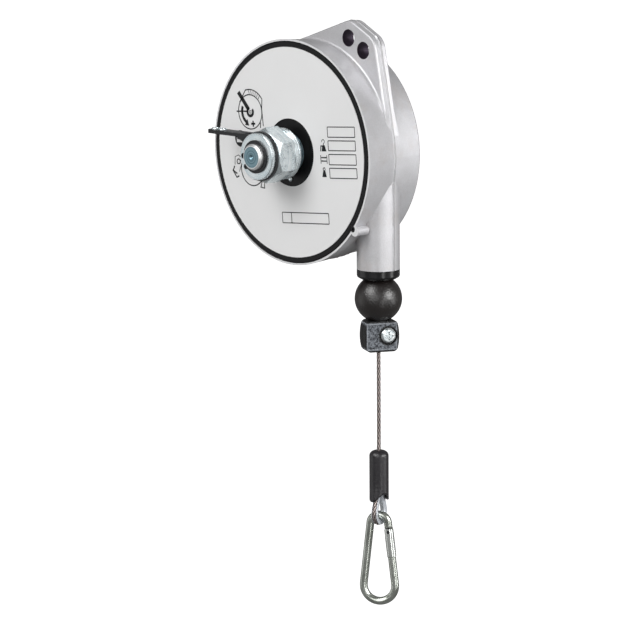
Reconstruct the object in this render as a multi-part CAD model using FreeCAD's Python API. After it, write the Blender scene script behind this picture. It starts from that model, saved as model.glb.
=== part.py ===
import FreeCAD, Part

# Tool balancer: a spring drum in a cast housing pays out a wire rope that carries a tool.
#
# Working axes (mm): the drum turns about Y, the dial side faces -Y, X is to the right, Z is up,
# and the middle of the dial is the zero point. shift_and_save() moves every piece at the end so
# that the middle of the suspension hole becomes the origin of the stored part.

import math
import os

V = FreeCAD.Vector
X, Y, Z = V(1, 0, 0), V(0, 1, 0), V(0, 0, 1)
os.makedirs("parts", exist_ok=True)

# ---- clearances ---------------------------------------------------------------------------
FIT = 0.02            # seated pieces
RUN = 0.05            # a shaft running in a bore, on the radius
SOFT = 0.3            # rope beside the thing it passes

# ---- housing casting ------------------------------------------------------------------------
COVER_R = 68.6
COVER_T = 3.0
LIP = 1.3             # casting left standing round the cover
RIM_R = COVER_R + LIP # outer radius at the dial side
DRAFT = 4.5           # how much smaller the radius is at the back
DEPTH = 50.8
WALL = 4.0
LUG_Y0, LUG_T = 18.5, 9.4
LUG_MID = LUG_Y0 + LUG_T / 2
SAFETY_HOLE = (32.6, 71.2)
HANG_HOLE = (45.4, 64.4)
LUG_HOLE_R = 5.25
LUG_END_R = 10.6
ROPE_X, ROPE_Y = COVER_R - 15.6, LUG_MID     # the line the rope hangs on
TUBE_R, TUBE_BORE_R, TUBE_END = 13.25, 9.0, -69.0
LOCK_ANGLE = math.radians(-37.6)    # where on the rim the lock screw's boss is cast
LOCK_BOSS_AT, LOCK_BOSS_R, LOCK_BOSS_LEN = COVER_R + 2.3, 3.1, 10.5
REAR_BOSS_R, REAR_BOSS_LEN = 17.0, 5.5
REAR_BOSS_Y = DEPTH - REAR_BOSS_LEN
REAR_PAD = 2.0        # raised round pad in the middle of the back
LABEL_R, LABEL_HOLE_R, LABEL_T = COVER_R - 3.7, 21.0, 0.3
COVER_BOSS_R, COVER_BOSS_END = 18.0, 7.2
COVER_PIN_R, COVER_PIN_Z = 1.5, -16.4
LOCK_SCREW_AT, LOCK_SCREW_R = COVER_R + 0.3, 2.0      # set half in the cover
LOCK_SCREW_LEN = COVER_BOSS_END - 1.2

# ---- shaft and what is stacked on it ----------------------------------------------------------
SHAFT_R = 8.0
BUSH_OUT_R = 12.0
SHAFT_FRONT, SHAFT_BACK = -32.8, DEPTH - 1.2
RING_Y, RING_T, RING_R = -29.8, 1.0, 10.2
RING_TURN = 70.0          # which way the spring ring's gap points, from straight down
GROOVE = 0.6
WASHER_T, WASHER_R = 2.8, 14.5
WASHER_Y = RING_Y + RING_T + 2 * FIT
LEVER_T, LEVER_EYE_R = 2.0, 15.2
LEVER_Y = WASHER_Y + WASHER_T + RUN
ARM_TOP, ARM_T, ARM_WIDTH, ARM_REACH = 12.6, 2.2, 9.4, 49.4
ARM_HOLES, ARM_HOLE_R = (-44.6, -38.6), 2.25
THIN_T, THIN_R = 1.0, 14.3
THIN_Y = LEVER_Y + LEVER_T + RUN
HEX_LEN, HEX_AF = 12.3, 30.0
HEX_Y = THIN_Y + THIN_T + FIT
COLLAR_LEN, COLLAR_R = 5.0, 15.9
COLLAR_Y = HEX_Y + HEX_LEN + FIT
NECK_R = 10.6
NECK_Y = COLLAR_Y + COLLAR_LEN + FIT
BEARING_R, BEARING_T = 14.0, 7.0
AXIAL = 0.3           # end play between turning and standing pieces
BEARING_Y = (COVER_BOSS_END + 2 * AXIAL, REAR_BOSS_Y - AXIAL - BEARING_T)
ARBOR_R = 13.0
ARBOR_Y0, ARBOR_Y1 = BEARING_Y[0] + BEARING_T + FIT, BEARING_Y[1] - FIT

# ---- drum and spring --------------------------------------------------------------------------
ROPE_R = 1.25
LAY_SMALL = ROPE_X                   # rope centre radius where it leaves at rest
CONE = 4.0                           # how much the radius grows over the stroke
TURN_PITCH, TURNS = 2.9, 5.8         # 2.0 m of rope on the mean radius
FLANGE_T, FLANGE_UP = 0.9, 4.2
SEAT_WALL = 5.2                      # drum wall under the rope
CUP_R = LAY_SMALL - ROPE_R - SEAT_WALL
CUP_WALL = 3.5
WEB_T = 3.0
DRUM_BOSS_R = BEARING_R + 4.0
DRUM_BACK = REAR_BOSS_Y - 5 * AXIAL
SPRING_T, SPRING_TURNS = 0.9, 8
LID_T = 2.2

# ---- what hangs under the tube ----------------------------------------------------------------
GUIDE_BOTTOM = -75.1
BALL_R, BALL_Z, BALL_BOTTOM = 14.6, -87.4, -100.5
CLAMP_TOP, CLAMP_BOTTOM = -100.6, -120.0
CLAMP_W, CLAMP_D, CLAMP_GAP = 22.0, 12.6, 0.4
CLAMP_TURN = 63.0                    # which way the clamp's face looks, from -Y towards +X
SCREW_OFF = 4.6
SLEEVE_TOP, SLEEVE_BOTTOM, SLEEVE_R = -182.3, -214.2, 6.0
FERRULE_TOP, FERRULE_BOTTOM = -190.0, -203.0
TWIN = 1.5                           # half the distance between the two rope legs in the ferrule
EYE_R, EYE_Z = 4.6, -221.7           # inside of the thimble
THIMBLE_T, THIMBLE_FLOOR = 3.6, 0.9
THIMBLE_TURN = 110.0
LOOP_R = EYE_R + THIMBLE_FLOOR + 0.1 + ROPE_R

# ---- snap hook --------------------------------------------------------------------------------
HOOK_TURN = 33.0
WIRE_R = 2.5
HOOK_LEN = 60.0
BOW_SMALL, BOW_LARGE = 5.6, 10.0
HOOK_TOP = -220.7
BOW_Z = HOOK_TOP - WIRE_R - BOW_SMALL
BOW_GAP = HOOK_LEN - 2 * WIRE_R - BOW_SMALL - BOW_LARGE
GATE_R = 2.9
GATE_PIVOT_UP, GATE_NOSE_UP = 33.6, 20.5      # distances along the right flank from the large bow
TONGUE = 2.4
PIN_R = 1.0


def cyl_y(y0, length, r, x=0.0, z=0.0):
    """Cylinder along Y."""
    return Part.makeCylinder(r, length, V(x, y0, z), Y)


def ring_y(y0, length, r_out, r_in, x=0.0, z=0.0):
    """Washer-like ring along Y."""
    return cyl_y(y0, length, r_out, x, z).cut(cyl_y(y0 - 1, length + 2, r_in, x, z))


def turned(points, axis=Y, at=V(0, 0, 0)):
    """Body of revolution from (radius, distance along the axis) corners."""
    side = X if axis != X else Y
    pts = [at + side * r + axis * h for r, h in points]
    return Part.Face(Part.makePolygon(pts + pts[:1])).revolve(at, axis, 360)


def arc_edges(solid, y, r, tol=0.05):
    """Circular edges of a turned body at height y with radius r."""
    return [e for e in solid.Edges
            if isinstance(e.Curve, Part.Circle) and abs(e.Curve.Radius - r) < tol
            and abs(e.Curve.Center.y - y) < tol]


def housing_r(y):
    """Outer radius of the tapered casting at distance y behind the dial."""
    return RIM_R - DRAFT * y / DEPTH


def on_lock_ray(shape, radius):
    """Shape made at the middle, moved out to the lock screw's place on the rim."""
    out = shape.copy()
    out.translate(V(radius * math.cos(LOCK_ANGLE), 0, radius * math.sin(LOCK_ANGLE)))
    return out


def turn_about_rope(shape, degrees):
    """Turns a piece modelled facing -Y about the rope's own line."""
    out = shape.copy()
    out.rotate(V(ROPE_X, ROPE_Y, 0), Z, degrees)
    return out


def hull_of_circles(circles, y0, length):
    """Plate whose outline is stretched round a few circles (x, z, r), given anticlockwise."""
    n = len(circles)
    lines = []
    for i in range(n):
        x1, z1, r1 = circles[i]
        x2, z2, r2 = circles[(i + 1) % n]
        d = math.hypot(x2 - x1, z2 - z1)
        along = math.atan2(z2 - z1, x2 - x1)
        out = along - math.acos((r1 - r2) / d)
        normal = (math.cos(out), math.sin(out))
        lines.append((V(x1 + r1 * normal[0], y0, z1 + r1 * normal[1]),
                      V(x2 + r2 * normal[0], y0, z2 + r2 * normal[1]), normal))
    edges = []
    for i in range(n):
        a, b, n1 = lines[i]
        c, _, n2 = lines[(i + 1) % n]
        x2, z2, r2 = circles[(i + 1) % n]
        edges.append(Part.makeLine(a, b))
        mid = (n1[0] + n2[0], n1[1] + n2[1])
        size = math.hypot(*mid)
        top = V(x2 + r2 * mid[0] / size, y0, z2 + r2 * mid[1] / size)
        edges.append(Part.Arc(b, top, c).toShape())
    return Part.Face(Part.Wire(Part.__sortEdges__(edges))).extrude(Y * length)


def housing():
    """Casting: tapered pot, suspension lug, rope tube, lock boss, rear bearing boss."""
    bevel = WALL
    pot = turned([(0, 0), (RIM_R, 0), (housing_r(DEPTH - bevel), DEPTH - bevel),
                  (housing_r(DEPTH) - bevel, DEPTH), (0, DEPTH)])
    pot = pot.makeFillet(2.5, arc_edges(pot, DEPTH - bevel, housing_r(DEPTH - bevel)))
    lug = hull_of_circles([(0, 0, housing_r(LUG_MID)), (*HANG_HOLE, LUG_END_R),
                           (*SAFETY_HOLE, LUG_END_R)], LUG_Y0, LUG_T)
    lug = lug.makeFillet(1.2, [e for e in lug.Edges if e.BoundBox.YLength < 0.01])
    tube_top = TUBE_BORE_R - TUBE_R - 6
    tube = Part.makeCylinder(TUBE_R, tube_top - TUBE_END, V(ROPE_X, ROPE_Y, TUBE_END), Z)
    lock = turned([(0, 0), (LOCK_BOSS_R, 0), (LOCK_BOSS_R, LOCK_BOSS_LEN - 1),
                   (LOCK_BOSS_R - 1, LOCK_BOSS_LEN), (0, LOCK_BOSS_LEN)])
    lock = on_lock_ray(lock, LOCK_BOSS_AT)
    rib_t, pad_r = 2.4, REAR_BOSS_R + 3
    ribs = [Part.makeBox(rib_t, 1.4, 0.82 * RIM_R - pad_r, V(-rib_t / 2, DEPTH - 0.2, pad_r - 2))
            for _ in range(6)]
    for i, rib in enumerate(ribs):
        rib.rotate(V(0, 0, 0), Y, 60 * i)
    rear = turned([(0, DEPTH - 1), (pad_r, DEPTH - 1), (pad_r - 1, DEPTH + REAR_PAD),
                   (0, DEPTH + REAR_PAD)])
    body = pot.multiFuse([lug, tube, lock, rear] + ribs)

    inside = turned([(0, -1), (COVER_R + RUN, -1), (COVER_R + RUN, COVER_T),
                     (housing_r(COVER_T) - WALL, COVER_T),
                     (housing_r(DEPTH - WALL) - WALL, DEPTH - WALL), (0, DEPTH - WALL)])
    inside = inside.cut(cyl_y(REAR_BOSS_Y, DEPTH, REAR_BOSS_R))
    tube_bore = Part.makeCylinder(TUBE_BORE_R, 0.6 * -TUBE_END, V(ROPE_X, ROPE_Y, TUBE_END - 1), Z)
    cuts = [inside, tube_bore,
            cyl_y(REAR_BOSS_Y - 1, DEPTH, BUSH_OUT_R),
            cyl_y(LUG_Y0 - 1, LUG_T + 2, LUG_HOLE_R, *SAFETY_HOLE),
            cyl_y(LUG_Y0 - 1, LUG_T + 2, LUG_HOLE_R, *HANG_HOLE),
            on_lock_ray(cyl_y(-1, LOCK_SCREW_LEN + 1, LOCK_SCREW_R + FIT), LOCK_SCREW_AT)]
    for c in cuts:
        body = body.cut(c)
    return body.removeSplitter()


def front_cover():
    """Black pressed disc that closes the pot and carries the front bush."""
    disc = turned([(0, 0), (COVER_R - 0.6, 0), (COVER_R, 0.6), (COVER_R, COVER_T - FIT),
                   (COVER_BOSS_R, COVER_T - FIT), (COVER_BOSS_R - 1, COVER_BOSS_END),
                   (0, COVER_BOSS_END)])
    disc = disc.cut(cyl_y(-1, COVER_BOSS_END + 2, BUSH_OUT_R))
    disc = disc.cut(on_lock_ray(cyl_y(-1, COVER_T + 2, LOCK_SCREW_R + FIT), LOCK_SCREW_AT))
    return disc.cut(cyl_y(-1, COVER_T, COVER_PIN_R + FIT, 0, COVER_PIN_Z))


def label():
    """Printed plate round the hub."""
    return ring_y(-LABEL_T, LABEL_T - FIT / 2, LABEL_R, LABEL_HOLE_R)


def cover_pin():
    """Small pin pressed in the cover beside the hub."""
    r, back = COVER_PIN_R, COVER_T - 1 - FIT
    pin = turned([(0, -1.0), (r - 0.7, -1.0), (r, -0.5), (r, back), (0, back)])
    pin.translate(V(0, 0, COVER_PIN_Z))
    return pin


def lock_screw():
    """Grub screw set half in the cover and half in the casting, so the cover can't turn."""
    r, end = LOCK_SCREW_R, LOCK_SCREW_LEN - RUN
    screw = turned([(0, 0.1), (r - 0.3, 0.1), (r, 0.4), (r, end - 0.8), (r - 0.8, end), (0, end)])
    socket = hexagon(2.0, 1.9, 0, -0.1, 0)
    return on_lock_ray(screw.cut(socket), LOCK_SCREW_AT)


def shaft():
    """Steel shaft with a centre drilling and the groove of its retaining ring."""
    c = 1.1
    body = turned([(0, SHAFT_FRONT + 1.6), (1.6, SHAFT_FRONT), (SHAFT_R - c, SHAFT_FRONT),
                   (SHAFT_R, SHAFT_FRONT + c), (SHAFT_R, RING_Y - FIT),
                   (SHAFT_R - GROOVE, RING_Y - FIT), (SHAFT_R - GROOVE, RING_Y + RING_T + FIT),
                   (SHAFT_R, RING_Y + RING_T + FIT),
                   (SHAFT_R, SHAFT_BACK - 0.8), (SHAFT_R - 0.8, SHAFT_BACK), (0, SHAFT_BACK)])
    return body


def retaining_ring():
    """Open spring ring with two lugs."""
    gap, lug_r, lug_z = 4.4, 1.7, -RING_R + 0.2
    body = ring_y(RING_Y, RING_T, RING_R, SHAFT_R - GROOVE + FIT)
    body = body.cut(Part.makeBox(gap, RING_T + 2, RING_R, V(-gap / 2, RING_Y - 1, -RING_R - 1)))
    for side in (-1, 1):
        x = side * (gap / 2 + 1.2)
        lug = cyl_y(RING_Y, RING_T, lug_r, x, lug_z)
        lug = lug.cut(cyl_y(RING_Y - 1, RING_T + 2, 0.7, x, lug_z - 0.3))
        body = body.fuse(lug.cut(cyl_y(RING_Y - 1, RING_T + 2, SHAFT_R + FIT)))
    body.rotate(V(0, 0, 0), Y, RING_TURN)
    return body


def hub_washer():
    """Thick plated washer in front of the lever."""
    body = ring_y(WASHER_Y, WASHER_T, WASHER_R, SHAFT_R + FIT)
    return body.makeChamfer(0.5, arc_edges(body, WASHER_Y, WASHER_R))


def thin_washer():
    """Thin washer between the lever and the hexagon."""
    return ring_y(THIN_Y, THIN_T, THIN_R, SHAFT_R + FIT)


def hex_hub():
    """Hexagon a spanner turns to load the spring, corners turned off at the front."""
    r = HEX_AF / math.sqrt(3)
    pts = [V(r * math.sin(math.radians(60 * i)), HEX_Y, r * math.cos(math.radians(60 * i)))
           for i in range(6)]
    body = Part.Face(Part.makePolygon(pts + pts[:1])).extrude(Y * HEX_LEN)
    skirt = turned([(0, HEX_Y - 1), (HEX_AF / 2 - 0.8, HEX_Y - 1), (HEX_AF / 2 - 0.3, HEX_Y),
                    (r + 0.4, HEX_Y + 2.6), (r + 0.4, COLLAR_Y - 1.2), (r - 1.0, COLLAR_Y + 2),
                    (0, COLLAR_Y + 2)])
    return body.common(skirt).cut(cyl_y(HEX_Y - 1, HEX_LEN + 2, SHAFT_R + FIT))


def hub_collar():
    """Round collar behind the hexagon, with two turned grooves."""
    y1 = COLLAR_Y + COLLAR_LEN
    pts = [(SHAFT_R + FIT, COLLAR_Y), (COLLAR_R - 0.5, COLLAR_Y), (COLLAR_R, COLLAR_Y + 0.5)]
    for g in (1.5, 3.1):
        pts += [(COLLAR_R, COLLAR_Y + g), (COLLAR_R - 0.3, COLLAR_Y + g + 0.2),
                (COLLAR_R, COLLAR_Y + g + 0.4)]
    pts += [(COLLAR_R, y1 - 0.4), (COLLAR_R - 0.4, y1), (SHAFT_R + FIT, y1)]
    return turned(pts)


def neck_spacer():
    """Tube that keeps the collar off the cover."""
    return ring_y(NECK_Y, -RUN - NECK_Y, NECK_R, SHAFT_R + FIT)


def release_lever():
    """Flat eye round the shaft with an arm bent back over the dial."""
    eye = cyl_y(LEVER_Y, LEVER_T, LEVER_EYE_R)
    top, t, end, width = ARM_TOP, ARM_T, -ARM_REACH, ARM_WIDTH
    ear = Part.makeBox(LEVER_EYE_R + 4.8, LEVER_T, top - 2, V(-LEVER_EYE_R - 4.8, LEVER_Y, 2))
    ear = ear.cut(cyl_y(LEVER_Y - 1, LEVER_T + 2, 9, -LEVER_EYE_R - 4.8))
    arm = Part.makeBox(-12 - end, width, t, V(end, LEVER_Y, top - t))
    arm = arm.makeFillet(0.45 * width, [e for e in arm.Edges if e.BoundBox.ZLength > t - 0.01
                                        and e.BoundBox.XMax < end + 1])
    body = eye.multiFuse([ear, arm])
    clear = HEX_AF / math.sqrt(3) * math.cos(math.radians(26))
    body = body.cut(Part.makeBox(2 * clear, width + 5, 4 * top, V(-clear, LEVER_Y + LEVER_T, -top)))
    for x in ARM_HOLES:
        body = body.cut(Part.makeCylinder(ARM_HOLE_R, 4 * t, V(x, LEVER_Y + width / 2, top - 2 * t), Z))
    return body.cut(cyl_y(LEVER_Y - 1, LEVER_T + 2, SHAFT_R + RUN)).removeSplitter()


def front_bush():
    """Plain bearing of the shaft in the cover."""
    return ring_y(FIT, COVER_BOSS_END - 2 * FIT, BUSH_OUT_R - FIT, SHAFT_R + RUN)


def rear_bush():
    """Plain bearing of the shaft in the casting's boss."""
    start = REAR_BOSS_Y + FIT
    return ring_y(start, SHAFT_BACK - 0.1 - start, BUSH_OUT_R - FIT, SHAFT_R + RUN)


def rear_cap():
    """Plug over the shaft's back end."""
    r, brim = BUSH_OUT_R - FIT, BUSH_OUT_R + 2.5
    y0, y1 = SHAFT_BACK + AXIAL, DEPTH + REAR_PAD + FIT
    return turned([(0, y0), (r, y0), (r, y1), (brim, y1), (brim, y1 + 0.8),
                   (brim - 0.9, y1 + 1.5), (0, y1 + 1.5)])


def arbor():
    """Spring core fixed on the shaft, with the flat its spring eye is held by."""
    return ring_y(ARBOR_Y0, ARBOR_Y1 - ARBOR_Y0, ARBOR_R, SHAFT_R + FIT)


def drum_bearings():
    """The two bearings the drum turns on, one solid each."""
    rings = []
    for y in BEARING_Y:
        rings.append(turned([(SHAFT_R + RUN, y), (BEARING_R - 2.2, y), (BEARING_R - 2.2, y + 0.4),
                             (BEARING_R - 1.8, y + 0.4), (BEARING_R - 1.8, y), (BEARING_R, y),
                             (BEARING_R, y + BEARING_T), (SHAFT_R + RUN, y + BEARING_T)]))
    return Part.makeCompound(rings)


def lay_radius(y):
    """Rope centre radius on the cone; small where the rope leaves at rest."""
    return LAY_SMALL + CONE * (ROPE_Y - y) / (TURNS * TURN_PITCH)


def drum():
    """Pot with a conical rope seat between two flanges; the spring lies inside it."""
    seat = ROPE_R + RUN + FIT
    front = ROPE_Y - TURNS * TURN_PITCH - ROPE_R - FLANGE_T - AXIAL
    y0, y1 = front + FLANGE_T, ROPE_Y + ROPE_R + 0.6
    big, small = lay_radius(front) + FLANGE_UP, LAY_SMALL + FLANGE_UP
    web = BEARING_Y[0] + 0.6
    pts = [(DRUM_BOSS_R, web), (CUP_R - 4, web), (CUP_R, front), (big, front), (big, y0),
           (lay_radius(y0) - seat, y0), (lay_radius(y1) - seat, y1), (small, y1),
           (small, y1 + FLANGE_T), (CUP_R + CUP_WALL, y1 + 2.4), (CUP_R + CUP_WALL, DRUM_BACK),
           (CUP_R, DRUM_BACK), (CUP_R, web + WEB_T), (DRUM_BOSS_R, web + WEB_T),
           (DRUM_BOSS_R, BEARING_Y[0] + BEARING_T), (BEARING_R + FIT, BEARING_Y[0] + BEARING_T),
           (BEARING_R + FIT, BEARING_Y[0]), (DRUM_BOSS_R, BEARING_Y[0])]
    return turned(pts)


def spring_cover():
    """Disc that closes the drum and holds its rear bearing."""
    r, y0, end = CUP_R - FIT, DRUM_BACK - LID_T - 2 * AXIAL, BEARING_Y[1] + BEARING_T
    seat = BEARING_R + FIT
    return turned([(DRUM_BOSS_R, y0), (r, y0), (r, y0 + LID_T), (DRUM_BOSS_R, y0 + LID_T),
                   (DRUM_BOSS_R, end), (seat, end), (seat, BEARING_Y[1]), (DRUM_BOSS_R, BEARING_Y[1])])


def power_spring():
    """Flat clock spring of half circles whose radius grows by the same step each time."""
    eye_r = ARBOR_R + RUN
    y0 = BEARING_Y[0] + BEARING_T + 1.0
    width = BEARING_Y[1] - 1.0 - y0
    r0 = eye_r + 2 * SPRING_T + 1.0
    step = (CUP_R - FIT - SPRING_T / 2 - r0) / (2 * SPRING_TURNS)
    edges, ends = [], []
    for side in (SPRING_T / 2, -SPRING_T / 2):
        for k in range(2 * SPRING_TURNS):
            way = 1 if k % 2 == 0 else -1
            cx, r = (0 if way > 0 else step), r0 + k * step + side
            edges.append(Part.Arc(V(cx + way * r, y0, 0), V(cx, y0, way * r),
                                  V(cx - way * r, y0, 0)).toShape())
        ends.append((V(r0 + side, y0, 0), V(r0 + 2 * SPRING_TURNS * step + side, y0, 0)))
    caps = [Part.makeLine(ends[0][k], ends[1][k]) for k in (0, 1)]
    strip = Part.Face(Part.Wire(Part.__sortEdges__(edges + caps))).extrude(Y * width)
    eye = ring_y(y0, width, eye_r + SPRING_T, eye_r)
    tongue = Part.makeBox(r0 - eye_r - SPRING_T / 2, width, SPRING_T,
                          V(eye_r + SPRING_T / 2, y0, -SPRING_T + 0.25))
    return eye.multiFuse([tongue, strip]).removeSplitter()


def rope_winding():
    """Rope lying on the drum, its turns drawn as closed rings side by side."""
    rows = [ROPE_Y - TURN_PITCH * (i + 1) for i in range(int(TURNS))]
    outer = [(lay_radius(y) + ROPE_R * math.sin(math.radians(a)), y + ROPE_R * math.cos(math.radians(a)))
             for y in rows for a in (20, 55, 90, 125, 160)]
    inner = [(lay_radius(y) - ROPE_R + FIT, y) for y in (rows[-1] - 0.4, rows[0] + 0.4)]
    return turned(outer + inner)


def rope_lead():
    """Straight rope from the drum down through the tube and the ball to the clamp."""
    return Part.makeCylinder(ROPE_R, -CLAMP_TOP, V(ROPE_X, ROPE_Y, CLAMP_TOP), Z)


def guide_bush():
    """Black bush in the tube's end that guides the rope and is the ball's stop."""
    at = V(ROPE_X, ROPE_Y, 0)
    return turned([(3.4, GUIDE_BOTTOM), (TUBE_R - 2.6, GUIDE_BOTTOM), (TUBE_R - 0.5, GUIDE_BOTTOM + 1.2),
                   (TUBE_R, GUIDE_BOTTOM + 2.2), (TUBE_R, TUBE_END - FIT),
                   (TUBE_BORE_R - FIT, TUBE_END - FIT), (TUBE_BORE_R - FIT, -52), (4.5, -50),
                   (2.6, -52.5), (ROPE_R + SOFT, -55.5), (ROPE_R + SOFT, GUIDE_BOTTOM + 3)], Z, at)


def buffer_ball():
    """Rubber ball that cushions the return against the bush."""
    at = V(ROPE_X, ROPE_Y, 0)
    ball = Part.makeSphere(BALL_R, at + Z * BALL_Z)
    top = GUIDE_BOTTOM - FIT
    slab = Part.makeCylinder(BALL_R + 1, top - BALL_BOTTOM, at + Z * BALL_BOTTOM, Z)
    bore = Part.makeCylinder(ROPE_R + SOFT, 60, at + Z * (BALL_BOTTOM - 20), Z)
    return ball.common(slab).cut(bore)


def clamp_blank():
    """Whole clamp block before it is split: barrel sides, rounded corners."""
    h, w = CLAMP_TOP - CLAMP_BOTTOM, CLAMP_W
    x0, z0 = ROPE_X + 0.6, CLAMP_BOTTOM
    bulge, c = 1.5, 3.2
    p = [V(x0 - w / 2 + bulge, 0, z0), V(x0 + w / 2 - bulge, 0, z0),
         V(x0 + w / 2, 0, z0 + h / 2), V(x0 + w / 2 - bulge, 0, z0 + h),
         V(x0 - w / 2 + bulge, 0, z0 + h), V(x0 - w / 2, 0, z0 + h / 2)]
    edges = [Part.makeLine(p[0], p[1]), Part.Arc(p[1], p[2], p[3]).toShape(),
             Part.makeLine(p[3], p[4]), Part.Arc(p[4], p[5], p[0]).toShape()]
    block = Part.Face(Part.Wire(edges)).extrude(Y * CLAMP_D)
    block.translate(Y * (ROPE_Y - CLAMP_D / 2))
    corners = [e for e in block.Edges if e.BoundBox.YLength > CLAMP_D - 0.1]
    block = block.makeFillet(c, corners)
    rims = [e for e in block.Edges if e.BoundBox.YLength < 0.01]
    return block.makeFillet(0.8, rims)


def clamp_half(front):
    """One plate of the clamp with its half of the rope groove and its screw seat."""
    block = clamp_blank()
    side = -1 if front else 1
    keep = Part.makeBox(60, 30, 60, V(ROPE_X - 30, ROPE_Y + (-30 if front else 0) + side * CLAMP_GAP / 2,
                                      CLAMP_BOTTOM - 20))
    sx, sz = ROPE_X + SCREW_OFF, (CLAMP_TOP + CLAMP_BOTTOM) / 2 + 0.4
    half = block.common(keep)
    half = half.cut(Part.makeCylinder(ROPE_R + FIT, 60, V(ROPE_X, ROPE_Y, CLAMP_BOTTOM - 20), Z))
    half = half.cut(cyl_y(ROPE_Y - 20, 40, 2.6, sx, sz))
    if front:
        half = half.cut(cyl_y(ROPE_Y - CLAMP_D / 2 - 1, 2.6, 5.5, sx, sz))
    else:
        half = half.cut(hexagon(8.1, 5, sx, ROPE_Y + CLAMP_D / 2 - 3.4, sz))
    return turn_about_rope(half, CLAMP_TURN)


def hexagon(across_flats, length, x, y, z):
    """Hexagonal bar along Y."""
    r = across_flats / math.sqrt(3)
    pts = [V(x + r * math.cos(math.radians(60 * i)), y, z + r * math.sin(math.radians(60 * i)))
           for i in range(6)]
    return Part.Face(Part.makePolygon(pts + pts[:1])).extrude(Y * length)


def clamp_screw():
    """Pan-head screw that squeezes the two plates on the rope."""
    sx, sz = ROPE_X + SCREW_OFF, (CLAMP_TOP + CLAMP_BOTTOM) / 2 + 0.4
    seat = ROPE_Y - CLAMP_D / 2 + 1.6 - FIT
    screw = turned([(0, seat - 2.4), (3.6, seat - 2.2), (4.75, seat - 1.0), (4.75, seat),
                    (2.5, seat), (2.5, ROPE_Y + CLAMP_D / 2 - 0.4), (0, ROPE_Y + CLAMP_D / 2 - 0.4)])
    for box in ((5.2, 1.0), (1.0, 5.2)):
        screw = screw.cut(Part.makeBox(box[0], 1.6, box[1], V(-box[0] / 2, seat - 3.0, -box[1] / 2)))
    screw.translate(V(sx, 0, sz))
    return turn_about_rope(screw, CLAMP_TURN)


def clamp_nut():
    """Nut let into the rear plate."""
    sx, sz = ROPE_X + SCREW_OFF, (CLAMP_TOP + CLAMP_BOTTOM) / 2 + 0.4
    nut = hexagon(8.0, 3.2, sx, ROPE_Y + CLAMP_D / 2 - 3.4 + FIT, sz)
    nut = nut.cut(cyl_y(ROPE_Y, 20, 2.5 + FIT, sx, sz))
    return turn_about_rope(nut, CLAMP_TURN)


def bend(p0, d0, centre_side, radius, degrees):
    """Arc in the XZ plane that leaves p0 along d0; returns the edge, its end and end direction."""
    side = V(d0.z, 0, -d0.x) * centre_side
    centre = p0 + side * radius
    def turned_by(v, deg):
        a = math.radians(deg) * centre_side
        return V(v.x * math.cos(a) + v.z * math.sin(a), 0, -v.x * math.sin(a) + v.z * math.cos(a))
    mid = centre + turned_by(p0 - centre, degrees / 2)
    end = centre + turned_by(p0 - centre, degrees)
    return Part.Arc(p0, mid, end).toShape(), end, turned_by(d0, degrees)


def loop_flank():
    """Angle of the rope's straight flank to the vertical, and where its top bend starts."""
    bend_r = 8.0
    angle = 20.0
    a = math.radians(angle)
    # The flank is tangent to the loop round the eye on one side and to the top bend on the other.
    tangent = V(LOOP_R * math.cos(a), 0, LOOP_R * math.sin(a))
    top_dx = TWIN + bend_r * (1 - math.cos(a))
    run = (tangent.x - top_dx) / math.sin(a)
    top_z = EYE_Z + tangent.z + run * math.cos(a) + bend_r * math.sin(a)
    return angle, bend_r, run, top_z


def loop_path(offset=0.0):
    """Rope line below the clamp: down, round the thimble and back up into the ferrule."""
    angle, bend_r, run, top_z = loop_flank()
    jog_r, jog = 6.0, math.degrees(math.acos(1 - TWIN / 12.0))
    edges = []
    jog_z = FERRULE_TOP + 1.0 + 2 * jog_r * math.sin(math.radians(jog))
    p, d = V(0, 0, CLAMP_TOP - FIT), V(0, 0, -1)
    q = V(0, 0, jog_z)
    edges.append(Part.makeLine(p, q))
    arc, p, d = bend(q, d, -1, jog_r, jog)
    edges.append(arc)
    arc, p, d = bend(p, d, 1, jog_r, jog)
    edges.append(arc)
    q = V(p.x, 0, top_z)
    edges.append(Part.makeLine(p, q))
    arc, p, d = bend(q, d, -1, bend_r, angle)
    edges.append(arc)
    q = p + d * run
    edges.append(Part.makeLine(p, q))
    arc, p, d = bend(q, d, 1, LOOP_R, 180 + 2 * angle)
    edges.append(arc)
    q = p + d * run
    edges.append(Part.makeLine(p, q))
    arc, p, d = bend(q, d, -1, bend_r, angle)
    edges.append(arc)
    edges.append(Part.makeLine(p, V(p.x, 0, FERRULE_TOP + 1.2)))
    return edges


def rope_loop():
    """The rope below the clamp, a plain tube."""
    wire = Part.Wire(loop_path())
    profile = Part.Wire(Part.makeCircle(ROPE_R, V(0, 0, CLAMP_TOP - FIT), Z))
    tube = wire.makePipeShell([profile], True, False)
    tube.translate(V(ROPE_X, ROPE_Y, 0))
    return turn_about_rope(tube, THIMBLE_TURN)


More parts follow.
